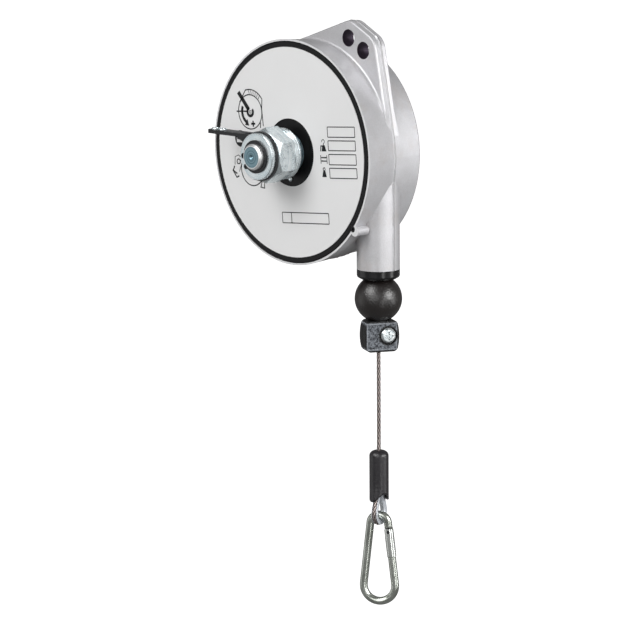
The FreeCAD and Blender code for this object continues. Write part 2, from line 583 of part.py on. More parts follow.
def thimble():
    """Teardrop thimble: a grooved band bent round the eye, its ends meeting under the ferrule."""
    angle, bend_r, run, top_z = loop_flank()
    a = math.radians(angle)
    short = run - 1.0
    half = THIMBLE_T / 2
    floor, wall = EYE_R, LOOP_R + 0.75
    seat = ROPE_R + 0.12
    groove = [(LOOP_R + seat * math.cos(t), seat * math.sin(t))
              for t in [math.radians(270 - 22.5 * k) for k in range(9)]]
    section = [(floor, -half + 0.8), (floor + 0.8, -half), (wall, -half), (wall, -half + 0.3)]
    section += groove + [(wall, half - 0.3), (wall, half), (floor + 0.8, half), (floor, half - 0.8)]
    pts = [V(r, y, 0) for r, y in section]
    face = Part.Face(Part.makePolygon(pts + pts[:1]))
    face.rotate(V(0, 0, 0), Y, -angle)
    bow = face.revolve(V(0, 0, 0), Y, 180 + 2 * angle)
    flank = face.extrude(V(-math.sin(a), 0, math.cos(a)) * short)
    other = flank.mirror(V(0, 0, 0), X)
    body = bow.multiFuse([flank, other])
    body = body.cut(Part.makeBox(2 * SOFT, 20, 40, V(-SOFT, -10, 0)))
    body.translate(V(ROPE_X, ROPE_Y, EYE_Z))
    return turn_about_rope(body, THIMBLE_TURN)


def ferrule():
    """Pressed sleeve that holds the rope's two legs together."""
    h = FERRULE_TOP - FERRULE_BOTTOM
    r = ROPE_R + 1.0
    body = Part.makeBox(2 * TWIN, 2 * r, h, V(-TWIN, -r, FERRULE_BOTTOM))
    for side in (-1, 1):
        body = body.fuse(Part.makeCylinder(r, h, V(side * TWIN, 0, FERRULE_BOTTOM), Z))
    for side in (-1, 1):
        body = body.cut(Part.makeCylinder(ROPE_R + 0.1, h + 2, V(side * TWIN, 0, FERRULE_BOTTOM - 1), Z))
    body.translate(V(ROPE_X, ROPE_Y, 0))
    return turn_about_rope(body.removeSplitter(), THIMBLE_TURN)


def rope_sleeve():
    """Black moulded cover over the ferrule; its lower edge is arched over the thimble's faces."""
    body = turned([(ROPE_R + SOFT, SLEEVE_TOP), (3.8, SLEEVE_TOP), (5.2, SLEEVE_TOP - 0.9),
                   (SLEEVE_R, SLEEVE_TOP - 3.0), (SLEEVE_R, SLEEVE_BOTTOM), (5.1, SLEEVE_BOTTOM),
                   (4.9, -204), (4.9, -187.0), (ROPE_R + SOFT, -183.2)], Z)
    arch = Part.makeCylinder(4.2, 20, V(0, -10, SLEEVE_BOTTOM - 0.2), Y)
    body = body.cut(arch)
    body = body.cut(loop_clearance())
    body.translate(V(ROPE_X, ROPE_Y, 0))
    return turn_about_rope(body, THIMBLE_TURN)


def loop_clearance():
    """Room for the rope and thimble legs where they spread inside the sleeve's mouth."""
    half = THIMBLE_T / 2 + 0.25
    pts = [V(-4.2, -half, -205), V(4.2, -half, -205), V(7.2, -half, SLEEVE_BOTTOM - 1),
           V(-7.2, -half, SLEEVE_BOTTOM - 1)]
    return Part.Face(Part.makePolygon(pts + pts[:1])).extrude(Y * 2 * half)


def hook_frame():
    """Tangent points and direction of the hook's right flank, small bow at the zero point."""
    s = (BOW_LARGE - BOW_SMALL) / BOW_GAP
    c = math.sqrt(1 - s * s)
    top = V(BOW_SMALL * c, 0, BOW_SMALL * s)
    low = V(BOW_LARGE * c, 0, BOW_LARGE * s - BOW_GAP)
    up = (top - low).normalize()
    return top, low, up


def place_hook(shape):
    """Hangs a hook piece under the rope and turns it to face its way."""
    out = shape.copy()
    out.translate(V(ROPE_X, ROPE_Y, BOW_Z))
    return turn_about_rope(out, HOOK_TURN)


def karabiner():
    """Bent wire body of the snap hook, flattened where the gate is pinned and where it closes."""
    top, low, up = hook_frame()
    pivot = low + up * GATE_PIVOT_UP
    nose = low + up * GATE_NOSE_UP
    left = lambda p: V(-p.x, 0, p.z)
    c2 = V(0, 0, -BOW_GAP)
    path = [Part.makeLine(nose, low),
            Part.Arc(low, c2 - Z * BOW_LARGE, left(low)).toShape(),
            Part.makeLine(left(low), left(top)),
            Part.Arc(left(top), Z * BOW_SMALL, top).toShape(),
            Part.makeLine(top, pivot)]
    wire = Part.Wire(path)
    profile = Part.Wire(Part.makeCircle(WIRE_R, nose, up))
    body = wire.makePipeShell([profile], True, False)
    body = body.fuse(Part.makeCylinder(WIRE_R, 6, pivot - V(0, 3, 0), Y))
    # Flats either side of a tongue, for the pinned end and for the nose.
    for centre, reach in ((pivot, 3.3), (nose, 3.4)):
        for side in (-1, 1):
            flat = Part.makeBox(12, 4, 2 * reach, V(-6, TONGUE / 2 if side > 0 else -TONGUE / 2 - 4, -reach))
            flat.rotate(V(0, 0, 0), Y, math.degrees(math.atan2(up.x, up.z)))
            flat.translate(centre)
            body = body.cut(flat)
    body = body.cut(Part.makeCylinder(PIN_R + FIT, 8, pivot - V(0, 4, 0), Y))
    return place_hook(body)


def gate_parts():
    """Gate bar with its two slots, in hook coordinates."""
    top, low, up = hook_frame()
    pivot = low + up * GATE_PIVOT_UP
    nose = low + up * GATE_NOSE_UP
    along = nose - pivot
    tilt = math.degrees(math.atan2(along.x, along.z))
    bar = Part.makeCylinder(GATE_R, along.Length + 2.9, V(0, 0, 0), Z)
    bar = bar.fuse(Part.makeCylinder(GATE_R, 2 * GATE_R, V(0, -GATE_R, 0), Y).common(
        Part.makeCylinder(GATE_R, 8, V(0, 0, -4), Z)))
    gap = TONGUE / 2 + 0.1
    bar = bar.cut(Part.makeBox(12, 2 * gap, 3.4 + 4, V(-6, -gap, -4)))
    bar = bar.cut(Part.makeBox(12, 2 * gap, 10, V(-6, -gap, along.Length - 0.6)))
    bar = bar.cut(Part.makeCylinder(PIN_R + RUN, 8, V(0, -4, 0), Y))
    bar = bar.cut(Part.makeCylinder(1.2, 9, V(0, 0, 2), Z))
    return bar, pivot, tilt


def karabiner_gate():
    """Sprung gate, pinned near the small bow, so that it opens towards the large one."""
    bar, pivot, tilt = gate_parts()
    bar.rotate(V(0, 0, 0), Y, tilt)
    bar.translate(pivot)
    return place_hook(bar)


def gate_pin():
    """Rivet the gate turns on."""
    _, pivot, _ = gate_parts()
    pin = Part.makeCylinder(PIN_R, 2 * GATE_R - 0.3, pivot - V(0, GATE_R - 0.15, 0), Y)
    return place_hook(pin)


def gate_spring():
    """Small spring pushing the gate shut, closed coil drawn as a tube."""
    _, pivot, tilt = gate_parts()
    coil = Part.makeCylinder(1.1, 6.4, V(0, 0, 4.0), Z).cut(Part.makeCylinder(0.6, 8, V(0, 0, 3.5), Z))
    coil.rotate(V(0, 0, 0), Y, tilt)
    coil.translate(pivot)
    return place_hook(coil)


def shift_and_save(name, shape):
    """Moves a piece so the suspension hole is the origin, then stores it."""
    shape = shape.copy()
    shape.translate(V(-HANG_HOLE[0], -LUG_MID, -HANG_HOLE[1]))
    shape.exportStep("parts/" + name + ".step")
    print("%-16s %8.0f mm3  %d solid(s)  %s" % (name, shape.Volume, len(shape.Solids), shape.isValid()))


PIECES = {
    "housing": housing, "front_cover": front_cover, "label": label, "cover_pin": cover_pin,
    "lock_screw": lock_screw, "shaft": shaft, "retaining_ring": retaining_ring,
    "hub_washer": hub_washer, "thin_washer": thin_washer, "hex_hub": hex_hub,
    "hub_collar": hub_collar, "neck_spacer": neck_spacer, "release_lever": release_lever,
    "front_bush": front_bush, "rear_bush": rear_bush, "rear_cap": rear_cap, "arbor": arbor,
    "drum_bearings": drum_bearings, "drum": drum, "spring_cover": spring_cover,
    "power_spring": power_spring, "rope_winding": rope_winding, "rope_lead": rope_lead,
    "guide_bush": guide_bush, "buffer_ball": buffer_ball,
    "clamp_front": lambda: clamp_half(True), "clamp_back": lambda: clamp_half(False),
    "clamp_screw": clamp_screw, "clamp_nut": clamp_nut, "rope_loop": rope_loop,
    "ferrule": ferrule, "rope_sleeve": rope_sleeve, "thimble": thimble,
    "karabiner": karabiner, "karabiner_gate": karabiner_gate, "gate_pin": gate_pin,
    "gate_spring": gate_spring,
}

for piece, make in PIECES.items():
    shift_and_save(piece, make())
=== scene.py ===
# %% [markdown]
# # The surfaces of a spring tool balancer
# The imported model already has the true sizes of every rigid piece. This script adds what a solid
# model leaves out: the twist of the wire rope, the printed plate, the skin of the casting, and a
# finish for every surface. Each section first says what the real thing is and how it is made.

import math

import bpy
import numpy as np
from mathutils import Euler, Matrix, Vector


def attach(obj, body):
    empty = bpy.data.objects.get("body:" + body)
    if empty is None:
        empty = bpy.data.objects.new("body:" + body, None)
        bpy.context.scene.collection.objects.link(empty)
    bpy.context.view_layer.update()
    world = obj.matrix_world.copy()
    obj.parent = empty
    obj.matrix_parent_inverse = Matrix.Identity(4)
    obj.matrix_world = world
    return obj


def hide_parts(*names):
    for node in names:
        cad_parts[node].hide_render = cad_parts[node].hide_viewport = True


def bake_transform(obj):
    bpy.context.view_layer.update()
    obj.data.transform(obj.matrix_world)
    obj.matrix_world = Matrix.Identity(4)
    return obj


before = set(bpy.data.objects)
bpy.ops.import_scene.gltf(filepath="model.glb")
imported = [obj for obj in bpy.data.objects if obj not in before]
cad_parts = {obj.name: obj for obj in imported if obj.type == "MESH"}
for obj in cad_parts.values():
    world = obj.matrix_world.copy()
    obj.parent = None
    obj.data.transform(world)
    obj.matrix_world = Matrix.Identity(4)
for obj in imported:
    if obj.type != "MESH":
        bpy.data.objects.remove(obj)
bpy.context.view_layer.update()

# %% [markdown]
# The model was drawn with its zero point in the middle of the dial, and was then moved so that the
# suspension hole is the origin. Sizes are easier to think about from the dial, so every shape below
# is written in millimetres from the dial's middle, and `place` turns it into metres of the model.

# %% The dial's middle and the rope's line
HANG_HOLE = np.array([45.4, 23.2, 64.4])
ROPE_X, ROPE_Y = 53.0, 23.2
STROKE = 2000.0


def place(points):
    """Millimetres from the dial's middle, as metres from the suspension hole: (p - hole) / 1000."""
    return (np.asarray(points, float) - HANG_HOLE) / 1000.0


print("rope line at", place([ROPE_X, ROPE_Y, 0]).round(4))

# %% [markdown]
# Every new shape is a surface on a grid: rows along one parameter, columns along the other. One
# helper turns such a grid into quads, closes it round a tube where wanted, and shades it smooth.
# Building whole arrays at once keeps the script quick even for a rope with a hundred twists.

# %% From a grid of points to a mesh
def grid_faces(rows, cols, round_rows=False, round_cols=False):
    """Corner numbers of the quads between neighbouring rows and columns of a grid."""
    i = np.arange(rows if round_rows else rows - 1)[:, None]
    j = np.arange(cols if round_cols else cols - 1)[None, :]
    i2, j2 = (i + 1) % rows, (j + 1) % cols
    quads = np.stack(np.broadcast_arrays(i * cols + j, i * cols + j2, i2 * cols + j2,
                                         i2 * cols + j), -1)
    return quads.reshape(-1, 4)


def make_piece(name, points, faces, smooth=True):
    """Mesh object from points in millimetres from the dial and quads given by corner numbers."""
    mesh = bpy.data.meshes.new(name)
    mesh.from_pydata(place(points).reshape(-1, 3), [], faces.tolist())
    mesh.polygons.foreach_set("use_smooth", np.full(len(mesh.polygons), smooth))
    mesh.update()
    piece = bpy.data.objects.new(name, mesh)
    bpy.context.scene.collection.objects.link(piece)
    return piece


def face_out(points, faces, outward):
    """The same quads, turned over if the middle one looks away from the outward direction."""
    a, b, c = points.reshape(-1, 3)[faces[len(faces) // 2][:3]]
    return faces if np.dot(np.cross(b - a, c - b), outward) > 0 else faces[:, ::-1]


print("helpers ready")

# %% [markdown]
# Finishes are node trees. Writing them node by node is slow to read, so two small classes help. A
# `Value` wraps one output socket: adding, subtracting or multiplying it adds a Math node. A `Finish`
# is a material in the making, and its `add` is the one way to place a node.

# %% Arithmetic on sockets
class Value:
    """One output of a node, on which sums and products can be written."""

    def __init__(self, finish, socket):
        self.finish, self.socket = finish, socket

    def math(self, operation, a, b=0.0):
        return self.finish.add("ShaderNodeMath", {"operation": operation}, {0: a, 1: b})

    def __add__(self, other):
        return self.math("ADD", self, other)

    def __sub__(self, other):
        return self.math("SUBTRACT", self, other)

    def __rsub__(self, other):
        return self.math("SUBTRACT", other, self)

    def __mul__(self, other):
        return self.math("MULTIPLY", self, other)

    def __abs__(self):
        return self.math("ABSOLUTE", self)

    def __mod__(self, step):
        return self.math("FLOORED_MODULO", self, step)

    def least(self, other):
        return self.math("MINIMUM", self, other)

    def most(self, other):
        return self.math("MAXIMUM", self, other)

    __radd__, __rmul__ = __add__, __mul__

    def clamped(self, low, high):
        """0 at low, 1 at high, straight between."""
        return self.finish.add("ShaderNodeMapRange", {"clamp": True},
                               {"Value": self, "From Min": low, "From Max": high})


# %% A material in the making
class Finish:
    """A material with one Principled shader; colours are linear red, green and blue."""

    def __init__(self, name, **constants):
        self.material = bpy.data.materials.new(name)
        self.material.use_nodes = True
        self.shader = self.material.node_tree.nodes["Principled BSDF"]
        self.where = self.add("ShaderNodeTexCoord", out="Object")
        for socket, value in constants.items():
            self.shader.inputs[socket.replace("_", " ")].default_value = value

    def add(self, kind, settings=None, sockets=None, out=0):
        """Adds a node: its settings first, then a number or a link for each socket named."""
        node = self.material.node_tree.nodes.new(kind)
        for key, value in (settings or {}).items():
            setattr(node, key, value)
        for key, value in (sockets or {}).items():
            self.feed(node.inputs[key], value)
        return Value(self, node.outputs[out])

    def feed(self, socket, value):
        """Links a Value to a socket, or sets a plain number or colour on it."""
        if isinstance(value, Value):
            self.material.node_tree.links.new(value.socket, socket)
        elif socket.type == "RGBA":
            socket.default_value = (*value, 1.0)
        else:
            socket.default_value = value

    def noise(self, size_mm, detail=3.0, rough=0.5):
        """Cloudy value from 0 to 1 whose lumps are about size_mm across."""
        return self.add("ShaderNodeTexNoise", {},
                        {"Vector": self.where, "Scale": 1000 / size_mm / 2, "Detail": detail,
                         "Roughness": rough})

    def cells(self, size_mm):
        """Distance to the nearest of many scattered points, about size_mm apart."""
        return self.add("ShaderNodeTexVoronoi", {},
                        {"Vector": self.where, "Scale": 1000 / size_mm})

    def dial_mm(self):
        """Where the surface is, in millimetres from the dial's middle."""
        return self.add("ShaderNodeVectorMath", {"operation": "MULTIPLY_ADD"},
                        {0: self.where, 1: (1000, 1000, 1000), 2: tuple(HANG_HOLE)})

    def part_of(self, vector, axis):
        """One of X, Y or Z of a vector."""
        return self.add("ShaderNodeSeparateXYZ", {}, {0: vector}, out=axis)

    def from_line(self, x, z):
        """Millimetres from the line through (x, z) that runs from front to back."""
        flat = self.add("ShaderNodeVectorMath", {"operation": "MULTIPLY"},
                        {0: self.dial_mm(), 1: (1, 0, 1)})
        return self.add("ShaderNodeVectorMath", {"operation": "DISTANCE"}, {0: flat, 1: (x, 0, z)},
                        out="Value")

    def lines(self, along, spacing_mm, detail=2.0):
        """Uneven parallel lines, 0 to 1, that change only with the value along (in mm)."""
        return self.add("ShaderNodeTexNoise", {"noise_dimensions": "1D"},
                        {"W": along, "Scale": 0.5 / spacing_mm, "Detail": detail})

    def mix(self, factor, a, b):
        """Colour a where factor is 0 and b where it is 1."""
        return self.add("ShaderNodeMix", {"data_type": "RGBA"}, {0: factor, 6: a, 7: b}, out=2)

    def bump(self, height, depth_mm, under=None):
        """Normal pushed by a height of 0 to 1 that stands for depth_mm of relief."""
        sockets = {"Height": height, "Distance": depth_mm / 1000, "Strength": 1.0}
        if under is not None:
            sockets["Normal"] = under
        return self.add("ShaderNodeBump", {}, sockets)

    def set(self, **sockets):
        """Feeds the shader: Base_Color=..., Roughness=..., Normal=..."""
        for key, value in sockets.items():
            self.feed(self.shader.inputs[key.replace("_", " ")], value)


def wear(finish, *names):
    """Gives a finish to CAD nodes or new pieces by name."""
    for name in names:
        mesh = bpy.data.objects[name].data
        mesh.materials.clear()
        mesh.materials.append(finish.material)
    print(finish.material.name, "->", ", ".join(names))


# %% [markdown]
# ## The wire rope
# The rope is 2.5 mm thick: six strands laid round a core, one full twist in 20 mm. Modelling six
# tubes costs six times the faces, and the strands hide each other's inner sides. So the rope is one
# skin whose outline is the outer edge of six circles, turned steadily as it runs along its route.
# A UV map counts the strands round the rope, so the finish knows crown from groove.

# %% Route points and how a curve is read
def read_route(name, corners):
    """Points along a smooth NURBS spline with the given control points, in millimetres."""
    curve = bpy.data.curves.new(name, "CURVE")
    curve.dimensions = "3D"
    curve.resolution_u = 24
    spline = curve.splines.new("NURBS")
    spline.points.add(len(corners) - 1)
    corners = np.column_stack([place(corners), np.ones(len(corners))])
    spline.points.foreach_set("co", corners.ravel())
    spline.order_u = 3
    spline.use_endpoint_u = True
    holder = bpy.data.objects.new(name, curve)
    bpy.context.scene.collection.objects.link(holder)
    bpy.context.view_layer.update()
    line = bpy.data.meshes.new_from_object(holder)
    points = np.array([v.co for v in line.vertices], float) * 1000 + HANG_HOLE
    bpy.data.objects.remove(holder)
    return points[np.r_[True, np.linalg.norm(np.diff(points, axis=0), axis=1) > 1e-6]]


def along(points, fractions):
    """Points and unit directions at the given fractions (0 to 1) of a line's length."""
    steps = np.linalg.norm(np.diff(points, axis=0), axis=1)
    s = np.r_[0, np.cumsum(steps)]
    at = np.clip(fractions, 0, 1) * s[-1]
    reach = 0.2
    out = np.stack([np.interp(at, s, points[:, k]) for k in range(3)], -1)
    ahead = np.stack([np.interp(np.clip(at + reach, 0, s[-1]), s, points[:, k])
                      - np.interp(np.clip(at - reach, 0, s[-1]), s, points[:, k])
                      for k in range(3)], -1)
    return out, ahead / np.linalg.norm(ahead, axis=1)[:, None]


# %% The skin of six strands
ROPE_R = 1.25
LAY = 20.0
STRANDS = 6


def strand_outline(around):
    """Outer edge of six circles of radius R/3 set at 2R/3: 2R/3 cos d + sqrt((R/3)^2 - (2R/3 sin d)^2)
    where d is the angle to the nearest strand's middle."""
    step = 2 * np.pi / STRANDS
    d = (around + step / 2) % step - step / 2
    ring = 2 * ROPE_R / 3
    return ring * np.cos(d) + np.sqrt(np.maximum((ROPE_R / 3) ** 2 - (ring * np.sin(d)) ** 2, 0))


def rope_skin(name, route, fractions, side, radius, turn):
    """Rope along a flat route. The ring at each fraction has its points at radius, turned by the
    angles turn[ring, point], in the plane of side and of the direction square to side and route."""
    side = np.asarray(side, float)
    centre, direction = along(route, fractions)
    across = np.cross(side[None, :], direction)
    points = (centre[:, None, :] + (radius * np.cos(turn))[..., None] * across[:, None, :]
              + (radius * np.sin(turn))[..., None] * side)
    return make_piece(name, points, grid_faces(*turn.shape, round_cols=True)[:, ::-1])


def count_strands(piece, rows, cols, twist):
    """UV map: u is the strand number round the rope less the twist at that ring, v the ring."""
    i, j = np.mgrid[0:rows - 1, 0:cols]
    row = np.stack([i + 1, i + 1, i, i], -1).reshape(-1, 4)
    col = np.stack([j, j + 1, j + 1, j], -1).reshape(-1, 4)
    u = STRANDS * (col / cols - twist[row] / (2 * np.pi))
    layer = piece.data.uv_layers.new(name="strands")
    layer.data.foreach_set("uv", np.stack([u, row / rows], -1).astype(np.float32).ravel())


# %% [markdown]
# Above the clamp the rope goes up through the ball into the tube. At rest only the ball's height
# lies between them, but the whole two metres come out there. Real grooves squeezed eighty times
# shorter would fold over themselves, so here the skin is round and only the strand count in the UV
# map twists, worked out for the pulled-out length: the finish then shows an even lay when the rope
# is out.

# %% The rope above the clamp
GUIDE_BOTTOM, CLAMP_TOP, CLAMP_BOTTOM = -75.1, -100.6, -120.0
LEAD_TOP = -50.0
LEAD_RINGS, LEAD_POINTS = 900, 24
lead_route = read_route("lead_route", [[ROPE_X, ROPE_Y, LEAD_TOP],
                                       [ROPE_X, ROPE_Y, (LEAD_TOP + CLAMP_TOP) / 2],
                                       [ROPE_X, ROPE_Y, CLAMP_TOP]])
lead_length = LEAD_TOP - CLAMP_TOP
BLEND = (GUIDE_BOTTOM - 0.4, CLAMP_TOP + 0.6)


def pulled_out(z):
    """How far below the top a point hangs when the stroke is out: its own depth plus the stroke
    times 3t^2 - 2t^3, where t goes from 0 to 1 over the blended stretch."""
    t = np.clip((BLEND[0] - z) / (BLEND[0] - BLEND[1]), 0, 1)
    return LEAD_TOP - z + STROKE * t * t * (3 - 2 * t)


ring_z = np.linspace(LEAD_TOP, CLAMP_TOP, LEAD_RINGS)
around = np.linspace(0, 2 * np.pi, LEAD_POINTS, endpoint=False)
lead = rope_skin("rope_above_clamp", lead_route, (LEAD_TOP - ring_z) / lead_length, (0, 1, 0),
                 ROPE_R, np.broadcast_to(around, (LEAD_RINGS, LEAD_POINTS)))
count_strands(lead, LEAD_RINGS, LEAD_POINTS, 2 * np.pi * pulled_out(ring_z) / LAY)
print("rings above the clamp:", LEAD_RINGS)
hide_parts("rope_lead")
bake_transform(lead)

# %% [markdown]
# Below the clamp the rope hangs straight, goes round the thimble and comes back up beside itself
# into a pressed ferrule. The loop lies flat in the thimble's own plane, which is turned 110 degrees
# about the rope. The control points are the corners of the straight runs.

# %% The rope below the clamp
THIMBLE_TURN = math.radians(110)
TWIN = 1.5
EYE_Z = -221.7
LOOP_R = 6.85
FLANK = math.radians(20)
BOW_CORNERS = 5
STRAIGHT_TO, JOG_TOP, RETURN_TOP = -140, -186.6, -188.8
RINGS_PER_MM, POINTS_PER_STRAND = 2.2, 9
flat_x = np.array([math.cos(THIMBLE_TURN), math.sin(THIMBLE_TURN), 0.0])
flat_side = np.array([math.sin(THIMBLE_TURN), -math.cos(THIMBLE_TURN), 0.0])


def loop_corner(out, z):
    """Point of the loop's plane: out millimetres from the rope's line, at height z."""
    return np.array([ROPE_X, ROPE_Y, 0.0]) + out * flat_x + np.array([0, 0, z])


corner_step = (math.pi + 2 * FLANK) / BOW_CORNERS
corner_r = LOOP_R / math.cos(corner_step / 2)
bow = [loop_corner(-corner_r * math.cos(-FLANK + (k + 0.5) * corner_step),
                   EYE_Z - corner_r * math.sin(-FLANK + (k + 0.5) * corner_step))
       for k in range(BOW_CORNERS)]
print("bow corners", np.round([b[2] for b in bow], 2))
up_flank = np.array([-math.sin(FLANK), math.cos(FLANK)])
touch = np.array([LOOP_R * math.cos(FLANK), EYE_Z + LOOP_R * math.sin(FLANK)])
steady = touch + LOOP_R * math.tan(corner_step / 2) * up_flank
split = touch + (touch[0] - TWIN) / math.sin(FLANK) * up_flank
lower_route = read_route("lower_route", [
    loop_corner(0, CLAMP_TOP), loop_corner(0, STRAIGHT_TO), loop_corner(0, JOG_TOP + 1.6),
    loop_corner(-TWIN, JOG_TOP - 2.6), loop_corner(-TWIN, split[1] + 6),
    loop_corner(-split[0], split[1]), loop_corner(-steady[0], steady[1]), *bow,
    loop_corner(steady[0], steady[1]), loop_corner(split[0], split[1]),
    loop_corner(TWIN, split[1] + 6), loop_corner(TWIN, RETURN_TOP)])
lower_length = np.linalg.norm(np.diff(lower_route, axis=0), axis=1).sum()
rings = int(lower_length * RINGS_PER_MM)
at = np.linspace(0, 1, rings)
around = np.linspace(0, 2 * np.pi, STRANDS * POINTS_PER_STRAND, endpoint=False)
lay_turn = 2 * np.pi * at * lower_length / LAY
lower = rope_skin("rope_below_clamp", lower_route, at, flat_side, strand_outline(around),
                  around[None, :] + lay_turn[:, None])
count_strands(lower, rings, len(around), 0 * lay_turn)
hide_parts("rope_loop")
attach(lower, "hook_line")
print("rope below the clamp, mm:", round(lower_length, 1))

# %% [markdown]
# ## What the foundry leaves
# The housing is die cast. Where the lug's flat faces run into the round pot the die has a small
# hollow, which catches the light as a thin bright line. The two halves of the die meet in the
# middle of the lug, and metal creeping between them leaves a thin rough ridge that goes over the
# lug, round the pot and down both sides of the tube. Both are made here as narrow strips.

# %% Hollows at the root of the lug
RIM_R, BACK_R, DEPTH = 69.9, 65.4, 50.8
LUG_FACES = ((18.5, -1), (27.9, 1))
LUG_FROM, LUG_TO = 11.2, 108.6
LUG_MID, COVE_R, EDGE_ROUND = 23.2, 1.6, 1.2
SUNK = 0.02
COVE_ROWS, COVE_COLS = 160, 9


def pot_radius(y):
    """Outside of the drafted pot: a straight line from RIM_R at the dial to BACK_R behind."""
    return RIM_R + (BACK_R - RIM_R) * y / DEPTH


def lug_cove(name, face_y, way):
    """Quarter-round hollow between pot and lug. Its radius is the cove radius, cut down where the
    lug's edge, a line touching the pot, comes nearer: r_pot / cos(angle from touching point). Both
    long edges are sunk a little into the casting, so that no gap opens beside them."""
    turn = np.linspace(LUG_FROM, LUG_TO, COVE_ROWS)[:, None]
    edge = pot_radius(LUG_MID) / np.cos(np.radians(np.minimum(turn - LUG_FROM, LUG_TO - turn)))
    size = np.clip(edge - pot_radius(face_y) - EDGE_ROUND, 0, COVE_R)
    t = np.linspace(0, np.pi / 2, COVE_COLS)[None, :]
    y = face_y + way * size * (1 - np.sin(t)) - way * SUNK * np.sin(t)
    r = pot_radius(face_y + way * size) - SUNK + size * (1 - np.cos(t))
    a = np.radians(turn)
    points = np.stack([r * np.cos(a), y, r * np.sin(a)], -1)
    middle = a[COVE_ROWS // 2, 0]
    out = np.array([np.cos(middle), way, np.sin(middle)])
    piece = make_piece(name, points, face_out(points, grid_faces(COVE_ROWS, COVE_COLS), out))
    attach(piece, "housing")
    return piece


coves = [lug_cove(name, *face) for name, face in zip(("lug_cove_front", "lug_cove_back"), LUG_FACES)]
print("coves:", [c.name for c in coves])

# %% Ridge where the die halves meet
SAFETY_HOLE, LUG_END_R = (32.6, 71.2), 10.6
TUBE_R, TUBE_END = 13.25, -69.0
RUN_STEP = 0.6


def arc_run(x, z, r, first, last):
    """Points and outward directions along an arc, with the angles in degrees."""
    steps = int(abs(last - first) * np.pi / 180 * r / RUN_STEP) + 2
    a = np.radians(np.linspace(first, last, steps))
    out = np.stack([np.cos(a), np.sin(a)], -1)
    return np.concatenate([np.array([x, z]) + r * out, out], 1)


def straight_run(start, end, out):
    """The same along a straight line, whose outward direction does not change."""
    t = np.linspace(0, 1, int(math.dist(start, end) / RUN_STEP) + 2)[:, None]
    line = np.asarray(start, float) * (1 - t) + np.asarray(end, float) * t
    return np.concatenate([line, np.broadcast_to(out, line.shape)], 1)


def seam_ridge(name, run):
    """Low ridge along a run: a section of four points, whose height wanders along the way as a
    sum of sines of unrelated lengths."""
    s = np.arange(len(run)) * RUN_STEP
    rough = (0.5 + 0.2 * np.sin(s / 2.3) + 0.15 * np.sin(s / 0.9 + 1) + 0.15 * np.sin(s / 7.1 + 2)
             + 0.1 * np.sin(s / 0.55))
    height = np.stack([0 * s - 0.12, 0.2 + 0.6 * rough, 0.15 + 0.5 * rough, 0 * s - 0.12], 1)
    sway = 0.1 * np.sin(s / 5.3)[:, None]
    y = LUG_MID + sway + np.array([-0.8, -0.16, 0.16, 0.5])[None, :]
    x = run[:, None, 0] + height * run[:, None, 2]
    z = run[:, None, 1] + height * run[:, None, 3]
    points = np.stack([x, y, z], -1)
    faces = grid_faces(len(run), 4)
    middle = run[len(faces) // 2 // 3]
    piece = make_piece(name, points, face_out(points, faces, (middle[2], 0, middle[3])), False)
    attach(piece, "housing")
    return piece


POT_MID = pot_radius(LUG_MID)
outer_angle = math.degrees(math.acos((ROPE_X + TUBE_R) / POT_MID))
inner_angle = math.degrees(math.acos((ROPE_X - TUBE_R) / POT_MID))
lug_top = math.degrees(math.atan2(HANG_HOLE[0] - SAFETY_HOLE[0], SAFETY_HOLE[1] - HANG_HOLE[2]))
drop = POT_MID * math.sin(math.radians(outer_angle))
outer_x, inner_x = ROPE_X + TUBE_R, ROPE_X - TUBE_R
seam_ridge("seam_ridge", np.concatenate([
    straight_run((outer_x, TUBE_END + 0.4), (outer_x, -drop), (1, 0)),
    arc_run(0, 0, POT_MID, -outer_angle, LUG_FROM),
    arc_run(HANG_HOLE[0], HANG_HOLE[2], LUG_END_R, LUG_FROM, lug_top),
    arc_run(*SAFETY_HOLE, LUG_END_R, lug_top, LUG_TO),
    arc_run(0, 0, POT_MID, LUG_TO, 360 - inner_angle)]))
seam_ridge("seam_ridge_inner", straight_run(
    (inner_x, -POT_MID * math.sin(math.radians(inner_angle))), (inner_x, TUBE_END + 0.4), (-1, 0)))
print("ridge from", round(-outer_angle, 1), "to", round(360 - inner_angle, 1), "degrees")

# %% [markdown]
# ## The sleeve over the splice
# The rope's return end is pressed into a ferrule, and a soft moulded sleeve covers it. Its top is
# domed, and its lower edge is scalloped: two lobes lie over the two legs of the rope and swell a
# little where the legs press outward.

# %% Sleeve
SLEEVE_TOP, SLEEVE_BOTTOM, SLEEVE_R = -182.3, -214.2, 6.0
SLEEVE_WALL, DOME_HEIGHT, DOME_HOLE = 0.8, 3.4, 1.5
ARCH_UP, ARCH_TURN = 5.0, math.radians(-10)
SWELL, SWELL_HEIGHT = 0.8, 11


